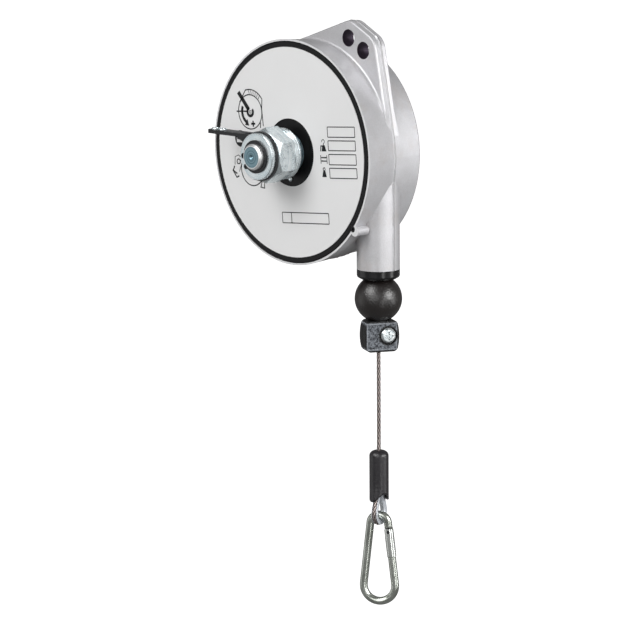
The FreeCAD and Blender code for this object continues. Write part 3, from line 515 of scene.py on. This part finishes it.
def rope_sleeve_skin():
    """Tube with a domed top. The lower edge rises by ARCH_UP times (1/2 + 1/2 cos 2a)^1.3 at angle a
    from the arch's middle, and the wall swells by SWELL cos^6 towards the rope's legs. The end of
    the grid rolls over the lower edge and a little way up inside."""
    a = np.linspace(0, 2 * np.pi, 72, endpoint=False)[:, None]
    edge = SLEEVE_BOTTOM + ARCH_UP * (0.5 + 0.5 * np.cos(2 * (a - ARCH_TURN))) ** 1.3
    t = np.linspace(0, np.pi / 2, 10)[None, :]
    dome_r = DOME_HOLE + (SLEEVE_R - DOME_HOLE) * np.sin(t)
    dome_z = SLEEVE_TOP - DOME_HEIGHT * (1 - np.cos(t))
    down = np.linspace(0, 1, 26)[None, 1:]
    wall_z = (SLEEVE_TOP - DOME_HEIGHT) * (1 - down) + edge * down
    near = np.clip((SLEEVE_BOTTOM + SWELL_HEIGHT - wall_z) / SWELL_HEIGHT, 0, 1)
    legs = np.abs(np.cos(a - THIMBLE_TURN)) ** 6
    wall_r = SLEEVE_R + SWELL * legs * near * near * (3 - 2 * near)
    lip = wall_r[:, -1:]
    r = np.concatenate([1.3 + 0 * a, dome_r + 0 * a, wall_r, lip - 0.35, lip - 0.75,
                        lip - SLEEVE_WALL, SLEEVE_R - SLEEVE_WALL + 0 * a], 1)
    z = np.concatenate([SLEEVE_TOP - SLEEVE_WALL + 0 * a, dome_z + 0 * a, wall_z, edge - 0.3,
                        edge + 0.1, edge + 2.5, edge + 9.0], 1)
    points = np.stack([ROPE_X + r * np.cos(a), ROPE_Y + r * np.sin(a), z], -1)
    return make_piece("sleeve_skin", points, grid_faces(*r.shape, round_rows=True)[:, ::-1])


sleeve = rope_sleeve_skin()
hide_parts("rope_sleeve")
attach(sleeve, "hook_line")
print("sleeve faces:", len(sleeve.data.polygons))

# %% [markdown]
# ## Eyelets in the lever
# The two holes in the lever's end are lined with small bright pressed eyelets.

# %% Eyelets
ARM_TOP, ARM_MIDDLE = 12.6, -21.21
EYELET_OUTER_X, EYELET_INNER_X, EYELET_R = -44.6, -38.6, 2.45
EYELET_ROWS, EYELET_COLS = 40, 14


def eyelet(name, x, y, z):
    """Ring with a rounded rim: an oval section of 0.5 by 0.7 mm turned about an upright axis."""
    a = np.linspace(0, 2 * np.pi, EYELET_ROWS, endpoint=False)[:, None]
    t = np.linspace(0, 2 * np.pi, EYELET_COLS, endpoint=False)[None, :]
    r = EYELET_R + 0.5 * np.cos(t)
    points = np.stack([x + r * np.cos(a), y + r * np.sin(a), z + 0.7 * np.sin(t) + 0 * a], -1)
    faces = grid_faces(EYELET_ROWS, EYELET_COLS, round_rows=True, round_cols=True)
    outward = points[EYELET_ROWS // 2, 3] - (x, y, z)
    piece = make_piece(name, points, face_out(points, faces, outward))
    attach(piece, "lever")


eyelet("eyelet_outer", EYELET_OUTER_X, ARM_MIDDLE, ARM_TOP + 0.3)
eyelet("eyelet_inner", EYELET_INNER_X, ARM_MIDDLE, ARM_TOP + 0.3)
print("eyelets at the lever's end")

# %% [markdown]
# ## The printed plate
# The dial plate is printed with thin lines: ruled boxes for a workshop's own entries, small signs
# beside them, and a sketch of which way the hub is turned. Ink has no thickness worth modelling,
# but flat ribbons a few hundredths of a millimetre off the plate stay sharp at any distance. One
# function turns any list of points into a ribbon of constant width.

# %% Ink ribbons
INK_Y = -0.33


def ribbon(line, width):
    """Two edges beside a line in the dial's plane: p +- width/2 times the unit normal, with the
    normal at a corner taken halfway between its two runs and lengthened to keep the width."""
    line = np.asarray(line, float)
    run = np.diff(line, axis=0)
    run /= np.linalg.norm(run, axis=1)[:, None]
    before, after = np.vstack([run[:1], run]), np.vstack([run, run[-1:]])
    mid = before + after
    mid /= np.linalg.norm(mid, axis=1)[:, None]
    lengthen = 1 / np.maximum((mid * before).sum(1), 0.5)
    normal = np.stack([-mid[:, 1], mid[:, 0]], -1) * (width / 2 * lengthen)[:, None]
    return np.stack([line + normal, line - normal], 1)


def circle(x, z, r, start=0, end=360, steps=48):
    """Points of an arc, angles in degrees from the right, anticlockwise as the dial is read."""
    a = np.radians(np.linspace(start, end, steps))
    return np.stack([x + r * np.cos(a), z + r * np.sin(a)], -1)


def box_lines(x0, z0, x1, z1, width):
    """The four sides of a ruled box."""
    return [ribbon(side, width) for side in ([(x0, z0), (x1, z0)], [(x1, z0), (x1, z1)],
                                             [(x1, z1), (x0, z1)], [(x0, z1), (x0, z0)])]


def ink(name, ribbons, y=INK_Y):
    """One flat piece from many ribbons, all facing the reader."""
    points, faces, count = [], [], 0
    for strip in ribbons:
        rows = len(strip)
        points.append(strip.reshape(-1, 2))
        faces.append(grid_faces(rows, 2) + count)
        count += rows * 2
    flat = np.concatenate(points)
    piece = make_piece(name, np.stack([flat[:, 0], np.full(len(flat), y), flat[:, 1]], -1),
                       np.concatenate(faces), smooth=False)
    corners = np.array([p.vertices[:] for p in piece.data.polygons])
    normals = np.array([p.normal[:] for p in piece.data.polygons])
    corners[normals[:, 1] > 0] = corners[normals[:, 1] > 0][:, ::-1]
    piece.data.polygons.foreach_set("vertices", corners.ravel())
    piece.data.update()
    return piece


# %% What is printed on the plate
PRINT_TURN = math.radians(4.5)
FINE, RULE, BOLD = 0.75, 0.6, 2.0


def on_plate(ribbons):
    """The print sits a few degrees round: every point turned about the dial's middle."""
    c, s = math.cos(PRINT_TURN), math.sin(PRINT_TURN)
    return [r @ np.array([[c, s], [-s, c]]) for r in ribbons]


entry_boxes = []
for bottom, top in ((9.6, 15.8), (1.4, 7.4), (-7.2, -0.9), (-15.4, -9.3)):
    entry_boxes += box_lines(34.4, bottom, 58.2, top, RULE)
entry_boxes += box_lines(-10.5, -43.6, 31.1, -37.1, RULE)
entry_boxes += [ribbon([(-2.2, -43.6), (-2.2, -37.1)], RULE)]

# Load, reach and own weight: a hook with a block, an arrow between two posts, a ringed weight.
signs = [ribbon(circle(30.0, 6.9, 1.2, -80, 200, 16), 0.5), ribbon([(30.2, 5.7), (30.2, 4.6)], 0.6),
         np.array([[(29.2, 4.7), (31.3, 4.7)], [(28.3, 0.9), (32.6, 0.9)]], float),
         ribbon([(27.4, 0.9), (27.9, 4.2), (29.0, 4.2)], FINE),
         ribbon([(27.2, -6.6), (27.2, -1.4)], RULE), ribbon([(32.6, -6.6), (32.6, -1.4)], RULE),
         ribbon([(27.6, -2.9), (32.2, -2.9)], FINE), ribbon([(27.6, -5.0), (32.2, -5.0)], FINE),
         np.array([[(32.3, -2.9), (32.3, -2.9)], [(31.0, -3.5), (31.0, -2.3)]]),
         np.array([[(27.5, -5.0), (27.5, -5.0)], [(28.8, -5.6), (28.8, -4.4)]]),
         ribbon(circle(29.6, -10.0, 0.9, 0, 360, 20), 0.6),
         np.array([[(28.6, -11.0), (30.6, -11.0)], [(27.6, -14.8), (31.6, -14.8)]])]

# Which way the hub is turned: the casing's outline, its key, an arc arrow and a plus.
CX, CZ = -34.2, 25.0
stripes = [ribbon([(CX + 11.3 * math.cos(t), CZ + 11.3 * math.sin(t)),
                   (CX + 13.4 * math.cos(t + 0.05), CZ + 13.4 * math.sin(t + 0.05))], 0.5)
           for t in np.radians([44, 53, 62, 71, 80, 89])]
sketch = [ribbon(circle(CX, CZ, 10.7), FINE), ribbon(circle(CX, CZ, 13.9, 34, 104, 24), FINE),
          ribbon([(CX - 3.3, CZ + 13.5), (CX - 9.2, CZ + 6.0)], FINE),
          ribbon([(CX + 11.5, CZ + 7.8), (CX + 10.7, CZ + 2), (CX + 11.3, CZ - 9)], FINE),
          ribbon([(CX + 9.0, CZ - 6.6), (CX + 8.6, CZ - 10)], FINE),
          ribbon([(CX - 10.0, CZ + 12.4), (CX - 1.2, CZ + 1.3)], 2.9),
          ribbon(circle(CX, CZ, 2.5, 110, 400, 30), 1.9), ribbon(circle(CX, CZ, 0.8), 0.5),
          ribbon(circle(CX, CZ, 7.4, 152, 236, 24), BOLD),
          np.array([[(CX - 1.7, CZ - 8.6), (CX - 1.7, CZ - 8.6)],
                    [(CX - 5.6, CZ - 8.2), (CX - 3.0, CZ - 4.4)]]),
          ribbon([(CX + 0.2, CZ - 7.4), (CX + 4.0, CZ - 7.4)], 1.2),
          ribbon([(CX + 2.1, CZ - 9.3), (CX + 2.1, CZ - 5.5)], 1.2),
          ribbon([(CX - 12.6, CZ + 0.4), (CX - 1.5, CZ + 0.4)], 0.9)] + stripes

# The same casing again with its rope run out to a tool, and a round spot behind the lever.
DX, DZ = -35.2, -10.6
sketch += [ribbon(circle(DX, DZ, 10.4), FINE),
           ribbon([(DX + 8.4, DZ - 6.2), (DX + 6.6, DZ - 11.2), (DX + 9.9, DZ - 11.8),
                   (DX + 10.4, DZ - 5.4)], FINE),
           ribbon(circle(DX - 12.6, DZ + 4.6, 1.5, 0, 360, 20), FINE),
           ribbon([(DX - 11.0, DZ + 5.2), (DX - 5.0, DZ + 4.4)], FINE),
           ribbon([(DX - 16.2, DZ + 2.6), (DX - 15.6, DZ + 7.6), (DX - 12.4, DZ + 8.6),
                   (DX - 9.6, DZ + 6.8), (DX - 8.6, DZ + 10.2)], 0.5),
           ribbon([(DX - 10.0, DZ + 3.0), (DX - 12.4, DZ - 1.8)], 0.5),
           ribbon([(DX - 14.6, DZ - 3.0), (DX - 18.2, DZ - 1.0), (DX - 16.6, DZ + 1.8)], 0.9),
           ribbon([(DX - 18.2, DZ - 1.0), (DX - 15.2, DZ - 5.4), (DX - 12.8, DZ - 4.4)], 0.9)]
SPOT = (-44.6, 8.4)
sketch += [ribbon(circle(*SPOT, 3.85), 2.7), ribbon(circle(*SPOT, 1.3), 2.5),
           ribbon([(SPOT[0] - 5, SPOT[1] + 1.9), (SPOT[0] + 4.6, SPOT[1] + 1.9)], 1.9)]
all_ribbons = entry_boxes + signs + sketch
print_marks = ink("print_marks", on_plate(all_ribbons))
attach(print_marks, "housing")
# A pale bar crosses the spot, a hair further out than the ink.
bar_line = [(SPOT[0] - 3.6, SPOT[1] - 0.9), (SPOT[0] + 6.2, SPOT[1] - 0.9)]
spot_bar = ink("spot_bar", on_plate([ribbon(bar_line, 3.0)]), INK_Y - 0.03)
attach(spot_bar, "housing")
print("ink ribbons", len(all_ribbons))

# %% [markdown]
# ## The casting's skin
# The pot, lug and tube are one aluminium die casting, tumbled to a fine satin. A satin surface is a
# rough metal with a shallow grain. A real one is uneven over a few centimetres too, which breaks up
# long highlights, and has faint warm stains. Its front lip is machined, and is painted brighter as a
# painted highlight as well. The bores of the two holes are painted near black as painted shade. The
# bottom of the pot, beside the tube, is painted darker as painted shade, and a narrow band just behind
# the ridge is painted dark as its painted shadow. The two die halves have opposite draft, so the
# surface tilts a little the other way behind the ridge.

# %% Cast aluminium
HOLE_R, SEAM_DEPTH = 5.3, 24.0
BOTTOM_FROM, BOTTOM_TO = 30, 64
TUBE_SIDE_FROM, TUBE_SIDE_TO = 30, 40
cast = Finish("cast_aluminium", Metallic=0.5, IOR=1.5)
grain = cast.noise(0.45, 3.0, 0.7)
waves = cast.noise(6.0, 3.0)
clouds = cast.noise(24.0, 4.0, 0.6)
stains = cast.noise(11.0, 4.0, 0.65).clamped(0.52, 0.72)
depth = cast.part_of(cast.dial_mm(), "Y")
# The machined front lip is painted brighter, partly as a painted highlight.
lip = 1 - depth.clamped(0.02, 0.12)
from_hole = cast.from_line(HANG_HOLE[0], HANG_HOLE[2]).least(cast.from_line(*SAFETY_HOLE))
# Painted shade: the bores of the two holes are painted near black.
bore_shade = 1 - from_hole.clamped(HOLE_R - 0.03, HOLE_R + 0.03)
skin = cast.mix(clouds.clamped(0.3, 0.7) * 0.5 + grain * 0.5, (0.36, 0.355, 0.36), (0.68, 0.68, 0.705))
skin = cast.mix(stains * 0.35, skin, (0.42, 0.36, 0.32))
sideways, upright = cast.part_of(cast.dial_mm(), "X"), cast.part_of(cast.dial_mm(), "Z")
# Painted shade: the bottom of the pot beside the tube is painted darker.
bottom = (upright * -1).clamped(BOTTOM_FROM, BOTTOM_TO)
underside_shade = bottom * (1 - sideways.clamped(TUBE_SIDE_FROM, TUBE_SIDE_TO))
skin = cast.mix(underside_shade * 0.6, skin, (0.13, 0.12, 0.115))
# Painted shadow: a narrow band just behind the ridge is painted dark.
seam_shadow = 1 - (abs(depth - SEAM_DEPTH) * 2).clamped(0.5, 1.0)
skin = cast.mix(seam_shadow * 0.55, skin, (0.12, 0.11, 0.11))
skin = cast.mix(bore_shade, cast.mix(lip, skin, (0.74, 0.74, 0.75)), (0.035, 0.022, 0.04))
tilt = abs(depth - LUG_MID) * 0.06
cast.set(Base_Color=skin, Roughness=0.34 + grain * 0.14 + clouds * 0.08,
         Normal=cast.bump(grain, 0.11, cast.bump(waves, 0.2, cast.bump(tilt, 1.0))))
wear(cast, "housing", "lug_cove_front", "lug_cove_back", "seam_ridge", "seam_ridge_inner")

# %% [markdown]
# ## Paint, print and ink
# The pressed cover is stoved black: smooth, half glossy, with a faint orange peel. The plate is a
# thin printed sheet, light grey and matt.

# %% Cover, plate and ink
black = Finish("black_paint", IOR=1.28)
black.set(Base_Color=(0.004, 0.004, 0.0045), Roughness=0.3 + black.noise(3.0) * 0.12,
          Normal=black.bump(black.noise(0.9), 0.02))
wear(black, "front_cover")

plate = Finish("label_print", IOR=1.45)
plate.set(Base_Color=plate.mix(plate.noise(18.0), (0.65, 0.65, 0.65), (0.70, 0.70, 0.70)),
          Roughness=0.42 + plate.noise(6.0) * 0.1, Normal=plate.bump(plate.noise(1.2), 0.008))
wear(plate, "label", "spot_bar")

ink_black = Finish("printed_ink", IOR=1.3)
ink_black.set(Base_Color=ink_black.mix(ink_black.noise(0.8), (0.004, 0.004, 0.005), (0.02, 0.02, 0.022)),
              Roughness=0.4 + ink_black.noise(1.0) * 0.15)
wear(ink_black, "print_marks")

# %% [markdown]
# ## Plated and blackened steel
# Bright zinc is a pale blue-white metal that is never quite even: it clouds over a few
# millimetres. Everything on the hub was turned on a lathe, so it also carries fine lines that
# depend only on the distance from the axis and on the depth. The lever and the spring ring are
# blackened.

# %% Zinc, steel and blackened steel
def plated(name, dark, light, roughness, size_mm, metallic=0.95, turned=0.0, speckle=0.02):
    """Plated metal: two tones clouded together, speckled, with lathe lines where it was turned."""
    metal = Finish(name, Metallic=metallic)
    blotch = metal.noise(size_mm, 4.0, 0.6).clamped(0.35, 0.65)
    fine = metal.noise(0.4, 3.0, 0.7)
    height = metal.bump(fine, speckle, metal.bump(blotch, 0.03))
    tone = blotch * 0.6 + fine * 0.4
    if turned:
        mark = metal.lines(metal.from_line(0, 0) + metal.part_of(metal.dial_mm(), "Y"), 0.5)
        height = metal.bump(mark, turned, height)
        tone = tone * 0.5 + mark.clamped(0.3, 0.7) * 0.5
    metal.set(Base_Color=metal.mix(tone, dark, light),
              Roughness=roughness + blotch * 0.1 + fine * 0.1, Normal=height)
    return metal


hub_zinc = plated("zinc_steel", (0.44, 0.54, 0.58), (0.96, 0.99, 0.99), 0.18, 3.0, 0.9, 0.07)
wear(hub_zinc, "hub_washer", "thin_washer", "hex_hub", "hub_collar", "neck_spacer", "cover_pin",
     "eyelet_outer", "eyelet_inner")
screw_zinc = plated("screw_zinc", (0.30, 0.36, 0.38), (0.86, 0.88, 0.88), 0.3, 0.8, 0.85)
wear(screw_zinc, "clamp_screw", "clamp_nut")
# The front bush is given this darker steel as painted shade, for the shadow behind the hub's collar.
steel = plated("steel", (0.12, 0.18, 0.22), (0.46, 0.56, 0.60), 0.24, 2.0, 0.9, 0.05)
wear(steel, "arbor", "drum_bearings", "front_bush")

# %% [markdown]
# The shaft's end is a dark machined face with a centre hole; the chamfer round it is painted near white
# as a painted highlight.

# %% Shaft end
end_steel = Finish("shaft_steel", Metallic=0.9)
from_axis = end_steel.from_line(0, 0)
mark = end_steel.lines(from_axis, 0.35, 3.0)
# Painted highlight: the chamfer's ring is painted near white.
chamfer_highlight = from_axis.clamped(6.3, 6.8)
dark_face = end_steel.mix(mark.clamped(0.3, 0.7), (0.05, 0.11, 0.14), (0.30, 0.44, 0.50))
end_steel.set(Base_Color=end_steel.mix(chamfer_highlight, dark_face, (0.96, 0.97, 0.97)),
              Roughness=0.26 + end_steel.noise(0.5) * 0.14,
              Normal=end_steel.bump(mark, 0.08, end_steel.bump(end_steel.noise(0.4), 0.02)))
wear(end_steel, "shaft")

# %% [markdown]
# The hook is bent from one bright rod and is smoother than the hub. Its gate is a short folded
# strip, painted near black at both ends as painted shade of the gaps: where it turns on its pin,
# and where it meets the nose.
# The other metals differ only in tone, in gloss and in how large their clouds are.

# %% Hook, lever, thimble, spring and drum
hook_zinc = plated("hook_zinc", (0.30, 0.32, 0.28), (0.66, 0.69, 0.64), 0.12, 5.0, speckle=0.004)
wear(hook_zinc, "karabiner")

gate_zinc = Finish("gate_zinc", Metallic=0.9)
GATE_MIDDLE_Z, GATE_HALF = -240.4, 9.5
from_middle = abs(gate_zinc.part_of(gate_zinc.dial_mm(), "Z") - GATE_MIDDLE_Z)
# Painted shade: the last few tenths of a millimetre at each end of the gate are painted near black.
gap_shade = from_middle.clamped(GATE_HALF - 0.8, GATE_HALF - 0.5)
cloud = gate_zinc.noise(4.0, 4.0, 0.6)
strip = gate_zinc.mix(cloud, (0.60, 0.63, 0.60), (0.90, 0.92, 0.89))
gate_zinc.set(Base_Color=gate_zinc.mix(gap_shade, strip, (0.03, 0.03, 0.03)),
              Roughness=0.16 + cloud * 0.1, Normal=gate_zinc.bump(cloud, 0.02))
wear(gate_zinc, "karabiner_gate")

blackened = plated("black_steel", (0.006, 0.007, 0.008), (0.02, 0.021, 0.023), 0.34, 3.0, 0.3)
wear(blackened, "release_lever", "retaining_ring", "lock_screw", "gate_pin")
bright = plated("thimble_metal", (0.60, 0.64, 0.70), (0.80, 0.82, 0.86), 0.32, 1.5, 0.6)
wear(bright, "thimble", "ferrule")
spring_steel = plated("spring_steel", (0.10, 0.13, 0.20), (0.28, 0.31, 0.36), 0.3, 8.0)
wear(spring_steel, "power_spring", "gate_spring")
turned_metal = plated("machined_aluminium", (0.60, 0.61, 0.62), (0.76, 0.77, 0.78), 0.25, 12.0)
wear(turned_metal, "drum", "spring_cover")
bronze = plated("bronze", (0.42, 0.26, 0.11), (0.62, 0.42, 0.2), 0.35, 1.5)
wear(bronze, "rear_bush")

# %% [markdown]
# ## Rubber and moulded plastic
# The ball is soft black rubber with a brown cast. The clamp is a grained, fibre filled plastic, and
# the sleeve is a leathery moulding. All three are told apart by the size of their grain.

# %% Rubber and plastics
def moulded(name, dark, light, roughness, grain_mm, relief_mm, index=1.5):
    """Moulded stuff: a grain of cells whose size and depth are given, over soft clouding."""
    stuff = Finish(name, IOR=index)
    grain = stuff.cells(grain_mm)
    soft = stuff.noise(grain_mm * 8, 3.0)
    fine = stuff.noise(grain_mm / 2, 2.0)
    stuff.set(Base_Color=stuff.mix(soft.clamped(0.3, 0.7) * 0.5 + fine * 0.5, dark, light),
              Roughness=roughness + soft * 0.12 + fine * 0.08,
              Normal=stuff.bump(grain, relief_mm, stuff.bump(soft, relief_mm)))
    return stuff


wear(moulded("rubber", (0.003, 0.002, 0.002), (0.009, 0.006, 0.005), 0.24, 0.9, 0.1, 1.65),
     "buffer_ball")
wear(moulded("sleeve_plastic", (0.003, 0.003, 0.004), (0.012, 0.010, 0.013), 0.26, 1.2, 0.12, 1.6),
     "sleeve_skin")
wear(moulded("black_plastic", (0.002, 0.002, 0.0022), (0.005, 0.005, 0.006), 0.14, 0.7, 0.01),
     "guide_bush", "rear_cap")

# %% [markdown]
# The clamp's face is textured. A thin line just inside its edges is painted lighter as a painted glint,
# and its narrow sides are painted near black as painted shade. Both follow from how far a point is
# from the middle of the clamp, across and up, measured in the clamp's own turned direction. The face
# is also painted near black out to about 6 mm round the screw.

# %% Clamp
CLAMP_TURN, CLAMP_X = math.radians(63), ROPE_X + 0.6
CLAMP_HALF_W, CLAMP_HALF_H = 11.0, 9.7
SCREW_ACROSS, SCREW_UP = 4.0, 0.4
SEAT_FROM, SEAT_TO = 33, 42
clamp = Finish("clamp_plastic", IOR=1.38)
spot_mm = clamp.dial_mm()
across = ((clamp.part_of(spot_mm, "X") - CLAMP_X) * math.cos(CLAMP_TURN)
          + (clamp.part_of(spot_mm, "Y") - ROPE_Y) * math.sin(CLAMP_TURN))
upward = clamp.part_of(spot_mm, "Z") - (CLAMP_TOP + CLAMP_BOTTOM) / 2
rim_at = (abs(across) - CLAMP_HALF_W).most(abs(upward) - CLAMP_HALF_H)
speck = clamp.noise(0.7, 3.0, 0.7)
face = clamp.mix(speck.clamped(0.38, 0.62), (0.008, 0.010, 0.014), (0.16, 0.175, 0.195))
# Painted glint: a thin lighter line inside the edges. Painted shade: the narrow sides near black.
painted_glint = 1 - (abs(rim_at + 1.7) * 2).clamped(0.5, 1.0)
face = clamp.mix(rim_at.clamped(-1.4, -1.0), clamp.mix(painted_glint * 0.35, face, (0.36, 0.38, 0.41)),
                 (0.004, 0.0045, 0.005))
beside, over = across - SCREW_ACROSS, upward - SCREW_UP
screw_squared = beside * beside + over * over
# The face is painted near black out to about 6 mm round the screw.
face = clamp.mix(1 - screw_squared.clamped(SEAT_FROM, SEAT_TO), face, (0.004, 0.0045, 0.005))
clamp.set(Base_Color=face, Roughness=0.34 + speck * 0.2,
          Normal=clamp.bump(speck, 0.25, clamp.bump(clamp.cells(0.9), 0.2)))
wear(clamp, "clamp_front", "clamp_back")

# %% [markdown]
# The rope's wires are drawn steel in a film of old grease. The crowns of the strands are painted pale
# as painted highlight and the grooves between them near black as painted shade. Both follow from the
# strand count in the UV map.

# %% Rope finish
wire = Finish("wire_rope", Metallic=0.8)
strand = wire.part_of(wire.add("ShaderNodeUVMap", {"uv_map": "strands"}), "X")
crown = 1 - abs((strand + 0.5) % 1.0 - 0.5) * 2
# Painted highlight on the crowns, painted shade in the grooves.
wire.set(Base_Color=wire.mix(crown.clamped(0.3, 0.8), (0.003, 0.002, 0.002), (0.66, 0.57, 0.54)),
         Roughness=0.3 + wire.noise(0.5) * 0.2,
         Normal=wire.bump(crown, 0.5, wire.bump(wire.noise(0.25), 0.02)))
wear(wire, "rope_above_clamp", "rope_below_clamp")
wear(plated("wound_rope", (0.05, 0.04, 0.035), (0.3, 0.26, 0.23), 0.35, 1.2), "rope_winding")

# %% [markdown]
# ## Room, light and camera
# A pale floor that curves up into a wall and a ceiling gives the even look of a studio cove from
# every side, and lies deep enough for the rope to be pulled right out. The dome is kept out of the
# reflections and shadows, so the black parts stay black and show the soft lights alone. The camera
# is far away with a long lens, so upright lines stay upright, and it is rolled by less than half a
# degree, as one held by hand would be.

# %% Floor, lights and camera
def stage_dome():
    """Turned about the upright axis: a flat floor, a quarter circle up, then a quarter oval over."""
    floor_z, flat, curve, height = -2.9, 12.0, 4.0, 13.0
    up = np.linspace(0.001, np.pi / 2 - 0.001, 24)
    r = np.r_[0.01, flat / 2, flat + curve * np.sin(up), (flat + curve) * np.cos(up)]
    z = floor_z + np.r_[0, 0, curve * (1 - np.cos(up)), curve + height * np.sin(up)]
    a = np.linspace(0, 2 * np.pi, 96, endpoint=False)[:, None]
    points = np.stack([r * np.cos(a), r * np.sin(a), z + 0 * a], -1) * 1000 + HANG_HOLE
    faces = grid_faces(96, len(r), round_rows=True)
    return make_piece("backdrop", points, face_out(points, faces, (-1, 0, 0)))


backdrop = stage_dome()
backdrop.visible_glossy = backdrop.visible_diffuse = backdrop.visible_shadow = False
paper = Finish("backdrop_paper", Emission_Strength=1.0)
paper.set(Base_Color=(0.9, 0.9, 0.9), Roughness=0.9, Emission_Color=(1.0, 1.0, 1.0))
wear(paper, "backdrop")


def soft_light(name, where, towards, width, height, power):
    """Rectangular area light that looks at a point."""
    light = bpy.data.lights.new(name, "AREA")
    light.shape = "RECTANGLE"
    light.size, light.size_y, light.energy = width, height, power
    lamp = bpy.data.objects.new(name, light)
    lamp.location = where
    lamp.rotation_euler = (Vector(towards) - Vector(where)).to_track_quat("-Z", "Y").to_euler()
    bpy.context.scene.collection.objects.link(lamp)


MIDDLE = (-0.02, -0.02, -0.13)
soft_light("key", (-0.15, -1.55, 1.15), MIDDLE, 1.1, 1.1, 27)
soft_light("side", (1.85, 0.38, 0.48), MIDDLE, 0.8, 0.8, 30)
soft_light("front", (0.75, -1.95, 0.45), MIDDLE, 1.5, 1.5, 14)
soft_light("left", (-1.5, -1.35, -0.35), MIDDLE, 1.4, 1.4, 3.5)
soft_light("strip_right", (1.68, 1.05, -0.2), (0, 0, -0.2), 0.4, 1.5, 8)
soft_light("strip_front", (1.9, -0.62, -0.3), (0, 0, -0.2), 0.3, 1.5, 6)
world = bpy.data.worlds.new("soft_room")
world.use_nodes = True
world.node_tree.nodes["Background"].inputs["Color"].default_value = (1, 1, 1, 1)
world.node_tree.nodes["Background"].inputs["Strength"].default_value = 0.22
bpy.context.scene.world = world

lens = bpy.data.cameras.new("camera")
lens.lens, lens.sensor_width = 200, 36
camera = bpy.data.objects.new("camera", lens)
azimuth, elevation, distance = math.radians(46.67), math.radians(9.89), 2.1405
roll = math.radians(-0.4)
target = np.array([-0.0238, -0.0251, -0.1620])
look = np.array([math.sin(azimuth) * math.cos(elevation), -math.cos(azimuth) * math.cos(elevation),
                 math.sin(elevation)])
camera.location = target + distance * look
level = Euler((math.pi / 2 - elevation, 0, azimuth)).to_matrix()
camera.rotation_euler = (level @ Matrix.Rotation(roll, 3, "Z")).to_euler()
bpy.context.scene.collection.objects.link(camera)
bpy.context.scene.camera = camera
bpy.context.scene.view_settings.view_transform = "Standard"
print("camera at", np.round(target + distance * look, 4))
